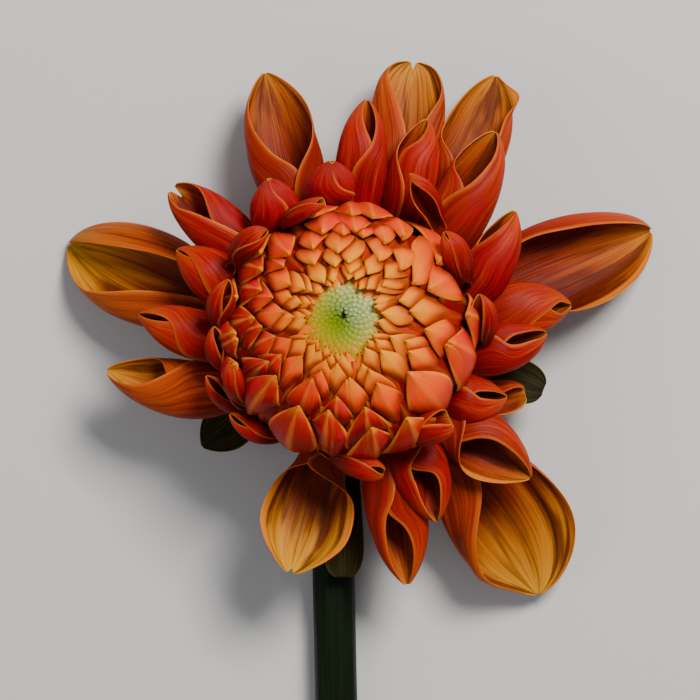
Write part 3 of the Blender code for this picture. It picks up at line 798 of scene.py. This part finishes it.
def tip_place(direction, reach):
    """Where a scale's tip shows: the ring's middle slides from the button's to the whole dome's."""
    middle = BUTTON_MIDDLE.lerp(RIM_MIDDLE, min(reach / RIM_REACH, 1.0))
    angle = math.radians(direction)
    return middle.x + reach * math.cos(angle), middle.y + reach * math.sin(angle)


tip_polar = seen_on_dome(*tip_place(0, 10), TIP_LIFT)[0]
print("A scale tip 10 mm right of the button lies", round(math.degrees(tip_polar)), "degrees down the dome")

# %% Scale tips: degrees round the button, then millimetres from it
SCALE_TIPS = [
    (-1.5, 6.0), (11.5, 6.9), (23, 6.0), (30, 6.3), (43.5, 8.0), (43.5, 9.4), (54, 7.0), (63.5, 6.2),
    (74.5, 7.7), (64.5, 9.7), (48, 11.0), (22, 10.6), (11, 11.9), (31.5, 14.4), (44.5, 14.0), (-3, 14.4),
    (61.5, 13.1), (83.5, 8.8), (84.5, 7.5), (86.5, 10.9), (24, 16.3), (64.5, 16.6), (57, 19.1), (79, 16.6),
    (84.5, 17.5), (91.5, 16.6), (96, 13.0), (-8, 18.5), (35.5, 20.3), (7, 21.6), (77, 20.9), (87.5, 20.9),
    (99.5, 10.2), (105, 7.1), (111.5, 6.5), (117.5, 7.7), (117.5, 12.1), (113, 15.1), (104, 17.6),
    (128, 16.6), (137, 7.9), (129, 6.2), (140, 9.2), (144, 12.1), (136, 15.7), (145.5, 18.4), (156.5, 8.3),
    (153, 6.6), (154.5, 10.6), (159, 14.0), (156.5, 16.7), (163.5, 20.5), (169.5, 11.2), (174, 9.1),
    (172.5, 7.0), (174.5, 16.7), (180.5, 15.1), (189.5, 12.9), (169, 5.8), (150, 5.8), (179.5, 6.8),
    (106, 21.4), (138, 20.9), (182, 20.0), (202, 7.0), (197.5, 10.1), (206.5, 7.6), (219, 6.8), (232.5, 6.8),
    (218, 9.7), (205.5, 12.8), (205, 15.3), (215.5, 15.5), (244.5, 7.7), (244.5, 9.7), (239.5, 11.5),
    (239.5, 16.6), (258.5, 15.5), (260.5, 7.7), (263.5, 13.1), (271.5, 10.3), (238.5, 5.6), (218, 5.7),
    (185.5, 19.8), (197.5, 20.7), (259, 5.9), (266.5, 6.1), (251, 6.5), (292.5, 8.3), (297.5, 9.6),
    (298.5, 12.1), (283.5, 15.1), (284.5, 18.5), (307, 6.2), (329, 6.6), (321.5, 8.3), (342.5, 8.6),
    (344, 11.3), (336.5, 12.4), (323, 14.1), (350, 18.2), (304, 19.3), (319, 5.6), (333.5, 5.7), (275, 9.9),
]
BIG_SCALES = {(24, 16.3): 1.35, (-8, 18.5): 1.3, (323, 14.1): 1.2, (304, 19.3): 1.15, (57, 19.1): 1.25}
print(len(SCALE_TIPS), "scale tips")

# %% The outline and the description of a scale
SCALE_HALF_WIDTH = 0.31
WIDEST_AT = 0.4
BASE_SHARE = 0.7
POINT_SHARE = 0.02
ARCH_FULLNESS = 1.7
ARCH_ROUNDNESS = 0.95


def base_outline(t):
    """The share of the half width from the base to the widest place."""
    return BASE_SHARE + (1 - BASE_SHARE) * smooth_step(t / WIDEST_AT)


def scale_outline(t):
    """The share of a scale's half width at t along it: a broad base, then a pointed arch."""
    if t < WIDEST_AT:
        return base_outline(t)
    beyond = (t - WIDEST_AT) / (1 - WIDEST_AT)
    return POINT_SHARE + (1 - POINT_SHARE) * (1 - beyond**ARCH_FULLNESS) ** ARCH_ROUNDNESS


@dataclass
class Scale:
    """Where a scale's tip is, and how its size, its turn, its height and its colour differ. least is the
    smallest number behind that it carries. covers lists the scales that lie over it: millimetres behind
    its own tip and aside from it, and half their width."""

    polar: float
    azimuth: float
    redness: float
    size: float = 1.0
    twist: float = 0.0
    sunk: float = 0.0
    least: float = 0.0
    covers: tuple = ()


def steepness(polar):
    """Millimetres along the dome for each radian down from the crown."""
    return math.hypot(CORE_RADIUS * math.cos(polar), CORE_HEIGHT * math.sin(polar))


def half_wide(scale):
    return CORE_RADIUS * math.sin(scale.polar) * scale.size * SCALE_HALF_WIDTH


print("Shares of the width from root to tip:", [round(scale_outline(step / 5), 2) for step in range(6)])

# %% Which scales cover a scale, and from where
TIP_OPENING = 1.15
SIDE_OPENING = 0.6
COVER_BEHIND = (0.5, 12.0)
COVER_ASIDE = 8.0


def covered_at(scale, side):
    """Millimetres behind the tip, at this distance from its middle, where other scales start to cover it."""
    starts = [CORE_RADIUS * math.sin(scale.polar)]
    for behind, aside, half in scale.covers:
        away = abs(aside - side)
        starts.append(behind + TIP_OPENING * away * (1 + SIDE_OPENING * (away / half) ** 4))
    return min(starts)


def covers_of(scale, others):
    """The tips among the others that lie over the body of this scale."""
    found = []
    for other in others:
        behind = steepness(scale.polar) * (other.polar - scale.polar)
        turn = (scale.azimuth - other.azimuth + math.pi) % (2 * math.pi) - math.pi
        aside = turn * CORE_RADIUS * math.sin(other.polar)
        if COVER_BEHIND[0] < behind < COVER_BEHIND[1] and abs(aside) < COVER_ASIDE:
            found.append((behind, aside, half_wide(other)))
    return tuple(found)


print("Tips up to", COVER_BEHIND[1], "mm behind a scale's own tip can cover it")

# %% Bend scales over the dome
SCALE_LENGTH = 0.95
SCALE_SLOPE = 0.27
LEVELLING = 5.0
SCALE_DIVE = 1.6
DIVE_LENGTH = 1.6
LEAST_COVERED = 0.5
MOST_BEHIND = 2.0
LEAST_RING = 2.0
CROWN_FADE = (0.2, 0.35)
SCALE_KEEL = 0.17
KEEL_SHARPNESS = 1.4
EDGE_DROOP = 0.45
SCALE_CROWDING = 1.5


def scale_point(scale, t, s):
    """A point of a scale at t from root to tip and s across it, from -1 to 1. The number with it is 0
    at the tip and 1 where the next tips start to cover the scale."""
    reach = CORE_RADIUS * math.sin(scale.polar) * scale.size
    back = (1 - t) * reach * SCALE_LENGTH
    half = half_wide(scale)
    polar = scale.polar + back / steepness(scale.polar)
    ring = max(CORE_RADIUS * math.sin(polar), LEAST_RING)
    side = s * half * scale_outline(t) + scale.twist * back
    crown = 1 - rise(scale.polar, CROWN_FADE)
    covered = covered_at(scale, side)
    lift = TIP_LIFT + CROWN_LIFT * crown - scale.sunk
    lift -= SCALE_SLOPE * LEVELLING * (1 - math.exp(-back / LEVELLING))
    lift -= SCALE_DIVE * smooth_step((back - covered) / DIVE_LENGTH)
    lift += SCALE_KEEL * half * (1 - abs(s)) ** KEEL_SHARPNESS - EDGE_DROOP * abs(s) ** 4
    behind = max(scale.least, min(back / max(covered, LEAST_COVERED), MOST_BEHIND))
    return head_tilt @ dome_point(polar, scale.azimuth - side / ring, lift), behind


def add_scale(number, scale):
    """Copies the flat grid of a scale and bends the copy over the dome."""
    piece = flat_scale.copy()
    piece.data = flat_scale.data.copy()
    bpy.context.scene.collection.objects.link(piece)
    behinds = []
    for vert in piece.data.vertices:
        place, behind = scale_point(scale, crowded((vert.co.x + 1) / 2, SCALE_CROWDING), vert.co.y)
        vert.co = (place + head_centre) * MM
        behinds.append(behind)
    numbers_on(piece, "behind", behinds)
    number_on(piece, "redness", scale.redness)
    seed_on(piece, number)
    return piece


print("A scale is", SCALE_LENGTH, "times as long as its tip is far from the dome's axis")

# %% How red a scale is
LIT_DIRECTION = 50
LEAST_RED = 0.02
MOST_RED = 0.9


def tip_redness(direction, reach):
    """Scales are peach near the button, coral further out, and red at the rim. On the lit side, at the
    upper right, the red starts further out and comes in more slowly."""
    # The paler colour on the lit side is painted light
    lit = math.cos(math.radians(direction - LIT_DIRECTION))
    return LEAST_RED + (MOST_RED - LEAST_RED) * rise(reach, (7 + 1.5 * lit, 14 + 5 * lit))


print("Redness 15 mm from the button:", [round(tip_redness(side, 15), 2) for side in range(0, 360, 90)])

# %% Finish of the scales
def scale_finish():
    material, shader, start = new_material("Scale petal", 0.4, 0.15)
    along, across, seed = petal_places(start)
    redness, behind = attribute(start, "redness"), attribute(start, "behind")
    edge = abs(across * 2 - 1)
    straight = (across - 0.5) * (1.05 - along ** 4)
    veins = stretched_noise(along, straight, seed, 1.2, 8.0, 4.0)
    blotches = stretched_noise(along, straight, seed, 2.2, 3.4)
    young = (1 - redness).between(0.8, 1.0)
    # Partly own colour, partly painted shade: behind makes the body redder and darker towards the next tips
    skin = ramp(
        redness * 0.95 + behind.between(0.15, 1.0) * 0.3 + (veins - 0.5) * 0.2,
        (0.0, "#f09c08"), (0.25, "#f47c06"), (0.5, "#f44e06"), (0.75, "#d02406"), (1.0, "#960a03"),
    )
    skin = layered(skin, [
        (blotches.between(0.5, 0.68) * redness * 0.7, "#d40c28"),
        (veins.between(0.55, 0.75) * 0.3, "#ff8c28"),
        (edge.between(0.2, 0.02) * redness * 0.7, "#f07828"),
        (edge.between(0.8, 0.96) * 0.7, "#fc9420"),
        (along.between(0.79, 0.98) * 0.85, "#f89c0c"),
        (behind.between(0.2, 0.0) * redness * 0.5, "#f4840c"),
        (along.between(0.75, 1.0) * young * 0.7, "#ffbc10"),
        # Painted shade: dark red where the next tips cover the scale, for the shadow they cast
        (behind.between(0.45, 1.05) * 0.6, "#5c0802"),
    ])
    connect(skin, shader, "Base Color")
    raise_veins(veins, shader, 0.3, 0.0003)
    return material


def plain_finish(name, code, dark, roughness):
    """A simple finish, mottled from one colour to a darker one."""
    material, shader, start = new_material(name, roughness)
    place = start.node("TexCoord", None, None, output=3)
    cells = start.node("TexNoise", None, {"Vector": place, "Scale": 400.0, "Detail": 4.0})
    skin = mix(cells.between(0.3, 0.7), colour(code), colour(dark))
    connect(skin, shader, "Base Color")
    return material


scale_skin = scale_finish()
scale_back = plain_finish("Scale inside", "#a02006", "#6c0c04", 0.6)
print("Finishes:", scale_skin.name, "and", scale_back.name)

# %% Lay the scales
SCALE_ROWS = 14
SCALE_COLUMNS = 6
SCALE_THICKNESS = 0.6
SCALE_TWIST = 0.06
SCALE_UNEVENNESS = 0.15
# Where scales lean aside: how far, in which direction from the button, and how wide a stretch leans
LEANS = ((-0.85, 48, 28), (0.3, 112, 14))
LEANS_OUTWARDS = (8, 8)


def join_pieces(pieces, name, finishes, node, thickness):
    """Makes one piece of many copies, and gives it its thickness."""
    bpy.ops.object.select_all(action="DESELECT")
    for piece in pieces:
        piece.select_set(True)
    bpy.context.view_layer.objects.active = pieces[0]
    bpy.ops.object.join()
    joined = bpy.context.object
    joined.name = name
    for finish in finishes:
        joined.data.materials.append(finish)
    thicken(joined, thickness)
    dress(joined, node)
    print(name, "has", len(joined.data.polygons), "faces")


flat_scale = add_grid(SCALE_ROWS, SCALE_COLUMNS)
draw = random.Random(5)
plans = []
for direction, reach in SCALE_TIPS:
    polar, azimuth = seen_on_dome(*tip_place(direction, reach), TIP_LIFT)
    twist = draw.uniform(-SCALE_TWIST, SCALE_TWIST)
    for lean, middle, spread in LEANS:
        twist += lean * rise(reach, LEANS_OUTWARDS) * math.exp(-(((direction - middle) / spread) ** 2))
    size = BIG_SCALES.get((direction, reach), 1.0)
    sunk = draw.uniform(-SCALE_UNEVENNESS, SCALE_UNEVENNESS)
    plans.append(Scale(polar, azimuth, tip_redness(direction, reach), size, twist, sunk))
scales = []
for number, plan in enumerate(plans):
    plan.covers = covers_of(plan, plans)
    scales.append(add_scale(number, plan))
scale_finishes = (scale_skin, scale_back, scale_skin)
join_pieces(scales, "dome_scales", scale_finishes, "dome_petals", SCALE_THICKNESS)

# %% [markdown]
# Between the tips that show, the flower has deeper scales of which only dark slivers can be seen. They
# are laid in the golden-angle pattern that dahlias grow in, lower than the others, and painted redder
# and darker as shade, so that the gaps look shadowed.

# %% A lower layer of scales fills the gaps
UNDER_SCALES = 100
FIRST_UNDER_NUMBER = 200
UNDER_SUNK = 1.7
UNDER_REACH = (5.6, 19.5)
# Painted shade on the deep scales: extra redness, and the reach beyond which they carry the most dark
UNDER_PAINTED_SHADE = 0.2
PAINTED_SHADE_OUTWARDS = (5.6, 3)

under_scales = []
for number in range(UNDER_SCALES):
    inner, outer = UNDER_REACH
    reach = inner * (outer / inner) ** (number / UNDER_SCALES)
    direction = math.degrees(number * GOLDEN_ANGLE) % 360
    polar, azimuth = seen_on_dome(*tip_place(direction, reach), TIP_LIFT)
    # Painted shade: deep scales are redder, and behind never drops below least, which keeps them dark
    redness = min(tip_redness(direction, reach) + UNDER_PAINTED_SHADE, 1.0)
    scale = Scale(polar, azimuth, redness, sunk=UNDER_SUNK, least=rise(reach, PAINTED_SHADE_OUTWARDS))
    under_scales.append(add_scale(number + FIRST_UNDER_NUMBER, scale))
bpy.data.objects.remove(flat_scale)
join_pieces(under_scales, "dome_under_scales", scale_finishes, "dome_petals", SCALE_THICKNESS)

# %% The dome's core
bpy.ops.object.select_all(action="DESELECT")
bpy.ops.mesh.primitive_uv_sphere_add(segments=64, ring_count=32, radius=1)
core = bpy.context.object
core.name = "dome_core"
for vert in core.data.vertices:
    high = CORE_HEIGHT - 2 * CORE_SUNK if vert.co.z > 0 else CORE_UNDERSIDE
    wide = CORE_RADIUS - CORE_SUNK
    place = Vector((vert.co.x * wide, vert.co.y * wide, vert.co.z * high))
    vert.co = (head_tilt @ place + head_centre) * MM
bpy.ops.object.shade_smooth()
core.data.materials.append(plain_finish("Dome core", "#7a1408", "#5a0a04", 0.7))
dress(core, "dome_petals")
print(core.name, "has", len(core.data.polygons), "faces")

# %% [markdown]
# ## The green button
#
# In the middle the youngest petals are still green. A hundred and forty of them lie in the golden-angle
# pattern round a small dark pit, each a rounded shield that leans towards it.

# %% Button surface and florets
BUTTON_RADIUS = 6.6
BUTTON_TOP = 14.7
BUTTON_RIM = 13.4
PIT_RADIUS = 0.5
PIT_DEPTH = 1.6
FLORETS = 140
FLORET_ROWS = 6
FLORET_COLUMNS = 5
FLORET_LENGTH = 2.6
FLORET_HALF_WIDTH = 0.85
FLORET_LIFT = 0.4
FLORET_SLOPE = 0.16
FLORET_KEEL = 0.1
FLORET_DROOP = 0.08
FLORET_ARCH = 0.61
LEAST_FLORET_RING = 0.5


def button_height(reach):
    """The button's surface over the dome's middle plane: a low dome with a pit."""
    low = BUTTON_TOP - (BUTTON_TOP - BUTTON_RIM) * (reach / BUTTON_RADIUS) ** 2
    return low - PIT_DEPTH * math.exp(-((reach / PIT_RADIUS) ** 3))


def floret_point(reach, turn, size, t, s):
    """A floret's point: its root lies outwards, its rounded tip leans over the next one inwards."""
    back = (1 - t) * size * FLORET_LENGTH
    share = math.sqrt(max(1 - (max(t - WIDEST_AT, 0) / FLORET_ARCH) ** 2, 0.0)) * base_outline(t)
    side = s * size * FLORET_HALF_WIDTH * share
    ring = reach + back
    lift = FLORET_LIFT - FLORET_SLOPE * back + FLORET_KEEL * size * (1 - s * s) - FLORET_DROOP * abs(s) ** 4
    angle = turn - side / max(ring, LEAST_FLORET_RING)
    return Vector((ring * math.cos(angle), ring * math.sin(angle), button_height(ring) + lift))


print("The button's pit is", round(button_height(1.0) - button_height(0.0), 1), "mm deep")

# %% Finish of the florets
def floret_finish():
    material, shader, start = new_material("Green floret", 0.3, 0.25)
    along, across, seed = petal_places(start)
    reach, pale = attribute(start, "reach"), attribute(start, "pale")
    edge = abs(across * 2 - 1)
    streaks = stretched_noise(along, across, seed, 1.5, 7.0)
    # On florets that face away from the light, the colour shifts towards yellow
    skin = ramp(
        reach + (1 - pale) * 0.15 + (streaks - 0.5) * 0.2,
        (0.0, "#5c7404"), (0.35, "#74880a"), (0.7, "#a09c08"), (1.0, "#dc980c"),
    )
    # Painted highlight: a whitish sheen near tips and edges and between streaks, strongest facing the light
    light = along.between(0.55, 1.0) * 0.3 + edge.between(0.6, 1.0) * 0.25 + streaks.between(0.5, 0.35) * 0.3
    skin = layered(skin, [(streaks.between(0.45, 0.75) * 0.4, "#445c06"), (light * pale ** 1.5, "#f8f8d8")])
    connect(skin, shader, "Base Color")
    return material


floret_skin = floret_finish()
print("Finish:", floret_skin.name)

# %% Lay the florets
BUTTON_EDGE = 0.9
FIRST_FLORET = 0.3
FLORET_CROWDING = 0.6
SMALLEST_FLORET = 0.45
FLORET_GROWTH = 0.15
PAINTED_LIGHT_DIRECTION = 40
FLORET_THICKNESS = 0.15

button_middle = head_tilt.inverted() @ Vector((BUTTON_MIDDLE.x, BUTTON_MIDDLE.y, BUTTON_TOP))
button_middle = Vector((button_middle.x, button_middle.y, 0))


def make_floret(number):
    reach = (BUTTON_RADIUS - BUTTON_EDGE) * ((number + FIRST_FLORET) / FLORETS) ** FLORET_CROWDING
    size = SMALLEST_FLORET + FLORET_GROWTH * reach
    turn = number * GOLDEN_ANGLE
    floret = add_grid(FLORET_ROWS, FLORET_COLUMNS)
    bend_grid(floret, lambda t, s: head_tilt @ (floret_point(reach, turn, size, t, s) + button_middle))
    number_on(floret, "reach", reach / BUTTON_RADIUS)
    # How much the floret faces the light, from 0 to 1, for its painted highlight
    number_on(floret, "pale", 0.5 + 0.5 * math.cos(turn - math.radians(PAINTED_LIGHT_DIRECTION)))
    seed_on(floret, number)
    return floret


florets = [make_floret(number) for number in range(FLORETS)]
join_pieces(florets, "button_florets", (floret_skin,) * 3, "button", FLORET_THICKNESS)

# %% [markdown]
# Under the florets lies their bed. It is a shape of revolution, as the petals' disc and the cup are, so
# one function makes all three: a grid is rolled up round the head's axis and welded along its seam.

# %% A turned shape
SEAM_GAP = 0.00001


def close_seam(piece, finish):
    """Welds a grid that was rolled up, turns its faces outwards, and gives it its finish."""
    bpy.ops.object.mode_set(mode="EDIT")
    bpy.ops.mesh.select_all(action="SELECT")
    bpy.ops.mesh.remove_doubles(threshold=SEAM_GAP)
    bpy.ops.mesh.normals_make_consistent(inside=False)
    bpy.ops.object.mode_set(mode="OBJECT")
    bpy.ops.object.shade_smooth()
    piece.data.materials.append(finish)
    print(piece.name, "has", len(piece.data.polygons), "faces")


def turned(name, profile, rows, segments, finish):
    """A shape of revolution round the head's tilted axis, from (place, radius, height) points."""
    radii = [(place, radius) for place, radius, height in profile]
    heights = [(place, height) for place, radius, height in profile]

    def point_at(u, v):
        radius, angle = through(radii, u), math.pi * v
        return head_tilt @ Vector((radius * math.cos(angle), radius * math.sin(angle), through(heights, u)))

    piece = add_grid(rows, segments)
    piece.name = name
    bend_grid(piece, point_at)
    close_seam(piece, finish)
    return piece


button_bed = turned("button_bed", [
    (0.0, 0.0, BUTTON_TOP - PIT_DEPTH), (0.1, 0.4, BUTTON_TOP - PIT_DEPTH + 0.2),
    (0.2, 0.8, BUTTON_TOP - 0.1), (0.6, 4.2, BUTTON_TOP - 0.6), (0.9, 6.6, BUTTON_RIM),
    (1.0, 7.2, BUTTON_RIM - 1.4),
], rows=24, segments=48, finish=plain_finish("Button bed", "#6c840c", "#4c640a", 0.6))
dress(button_bed, "button")

# %% The disc that carries the petals
petal_disc = turned("petal_disc", [
    (0.0, 0.0, -7.1), (0.4, 12.0, -7.3), (0.55, 14.6, -8.2), (0.65, 15.0, -9.2), (0.75, 13.8, -10.2),
    (0.85, 10.0, -10.9), (1.0, 0.0, -11.0),
], rows=40, segments=64, finish=plain_finish("Petal disc", "#8c3010", "#5a1408", 0.6))
dress(petal_disc, "outer_petals")

# %% [markdown]
# ## Cup, bracts and stem
#
# Under the petals sits a green cup with leafy bracts. The stem leaves it in line with the head, bends
# at the neck, and lies on the surface down to its cut end.

# %% Green finishes
def bract_finish():
    material, shader, start = new_material("Bract", 0.5, 0.05)
    along, across, seed = petal_places(start)
    edge = abs(across * 2 - 1)
    veins = stretched_noise(along, across, seed, 1.5, 34.0, 3.0)
    skin = layered(colour("#1c1802"), [
        (veins.between(0.4, 0.7), "#343008"), (edge.between(0.93, 1.0) * 0.8, "#80682a"),
    ])
    connect(skin, shader, "Base Color")
    raise_veins(veins, shader, 0.5, 0.0003)
    return material


def stem_finish():
    material, shader, start = new_material("Stem skin", 0.45, 0.05)
    along, across, seed = petal_places(start)
    fibres = stretched_noise(along, across, seed, 6.0, 60.0, 4.0)
    patches = stretched_noise(along, across, seed, 5.0, 4.0)
    skin = layered(colour("#060e02"), [
        (fibres.between(0.35, 0.7), "#0c1c04"), (patches.between(0.5, 0.8) * 0.5, "#182c06"),
    ])
    connect(skin, shader, "Base Color")
    raise_veins(fibres, shader, 0.4, 0.0003)
    return material


bract_skin = bract_finish()
stem_skin = stem_finish()
cup_skin = plain_finish("Cup", "#182c08", "#0c1804", 0.55)
print("Finishes:", bract_skin.name, stem_skin.name, cup_skin.name)

# %% Cup and bracts
CUP_BOTTOM = -13.8
cup = turned("cup", [
    (0.0, 0.0, -11.2), (0.25, 9.3, -11.3), (0.35, 9.5, -11.9), (0.6, 6.4, -13.2), (0.8, 4.6, CUP_BOTTOM),
    (1.0, 0.0, CUP_BOTTOM),
], rows=32, segments=64, finish=cup_skin)
dress(cup, "calyx")
BRACT_RING = (7.4, -12.2)
EVEN = "50:55 100:25"
BRACTS = [
    Petal("bract_1", (35.9, -12, -14.6), (20, -6, -14.6), 8.2, EVEN, EVEN, depth=0.45, widest=0.75,
          blunt=0.3, taper=(2.6, 0.6)),
    Petal("bract_2", (-26.4, -22.4, -15.5), (-15, -12.5, -14.4), 9.2, EVEN, EVEN, depth=0.45, widest=0.7),
    Petal("bract_3", (-0.6, -46.2, -14.6), (-0.6, -24, -14.6), 7.2, EVEN, EVEN, depth=0.4, widest=0.8,
          blunt=0.4, taper=(2.6, 0.6)),
    Petal("bract_4", (15.5, 13.5, -21), (9, 8, -17.5), 7.6, EVEN, EVEN, depth=0.45, widest=0.6),
    Petal("bract_5", (-15.5, 13.5, -21), (-9, 8, -17.5), 7.6, EVEN, EVEN, depth=0.45, widest=0.6),
    Petal("bract_6", (-21.5, -1, -20), (-14, -1, -16.5), 7.6, EVEN, EVEN, depth=0.45, widest=0.6),
    Petal("bract_7", (15, -19, -18.5), (10, -13.5, -14.5), 7.6, EVEN, EVEN, depth=0.45, widest=0.6),
]
for number, bract in enumerate(BRACTS):
    bract.ring = BRACT_RING
    make_petal(bract, number, [bract_skin] * 3, "calyx")
print(len(BRACTS), "bracts")

# %% The stem's centreline
STEM_RADIUS = 3.9
STEM_START = 0.3
STEM_NECK = 1.2
STEM_OFFSET = -3.4
STEM_SLANT = 0.022
STEM_SWAY_LENGTH = 42.0
STEM_LEVEL = STEM_RADIUS - HEAD_HEIGHT
ARC_STEPS = 24
LEVEL_STEPS = 20


def stem_line():
    """The stem's centreline: a short neck in line with the tilted cup, an arc, then level to the cut."""
    start = head_tilt @ Vector((0, 0, CUP_BOTTOM - STEM_NECK))
    tilt = math.radians(HEAD_TILT_DEG)
    bend = (start.z - STEM_LEVEL) / (1 - math.sin(tilt))
    line = [head_tilt @ Vector((0, 0, CUP_BOTTOM + STEM_START))]
    for step in range(ARC_STEPS + 1):
        angle = tilt + (math.pi / 2 - tilt) * step / ARC_STEPS
        y = start.y - bend * (math.cos(tilt) - math.cos(angle))
        line.append(Vector((start.x, y, start.z - bend * (math.sin(angle) - math.sin(tilt)))))
    level_start = line[-1].y
    for step in range(1, LEVEL_STEPS + 1):
        y = level_start + (-STEM_REACH - level_start) * step / LEVEL_STEPS
        line.append(Vector((start.x, y, STEM_LEVEL)))
    for point in line:
        run = max(start.y - point.y, 0)
        point.x += (STEM_OFFSET + STEM_SLANT * run - start.x) * smooth_step(run / STEM_SWAY_LENGTH)
    return line


line = stem_line()
places = [number / (len(line) - 1) for number in range(len(line))]
curves = [[(place, point[axis]) for place, point in zip(places, line)] for axis in range(3)]
print("The stem's centreline has", len(line), "points")

# %% Stem
STEM_ROWS = 160
STEM_COLUMNS = 64
AHEAD = 0.01
RIBS = 9
RIB_DEPTH = 0.015
CUT_PLACE = 0.985
CUT_HOLLOW = 0.8


def stem_point(u, v):
    """A point of the stem's skin. Past CUT_PLACE the skin turns in and closes the cut end."""
    along = min(u / CUT_PLACE, 1.0)
    centre, ahead, behind = (
        Vector([through(curve, place) for curve in curves])
        for place in (along, min(along + AHEAD, 1.0), max(along - AHEAD, 0.0))
    )
    heading = (ahead - behind).normalized()
    side = heading.cross(Vector((1, 0, 0))).normalized()
    across = side.cross(heading)
    angle = math.pi * v
    radius = STEM_RADIUS * (1 - RIB_DEPTH * (1 + math.cos(RIBS * angle)))
    if u > CUT_PLACE:
        radius *= (1 - u) / (1 - CUT_PLACE)
        centre -= heading * CUT_HOLLOW * (1 - radius / STEM_RADIUS)
    return centre + (side * math.cos(angle) + across * math.sin(angle)) * radius


stem = add_grid(STEM_ROWS, STEM_COLUMNS)
stem.name = "stem_tube"
bend_grid(stem, stem_point)
close_seam(stem, stem_skin)
dress(stem, "stem")
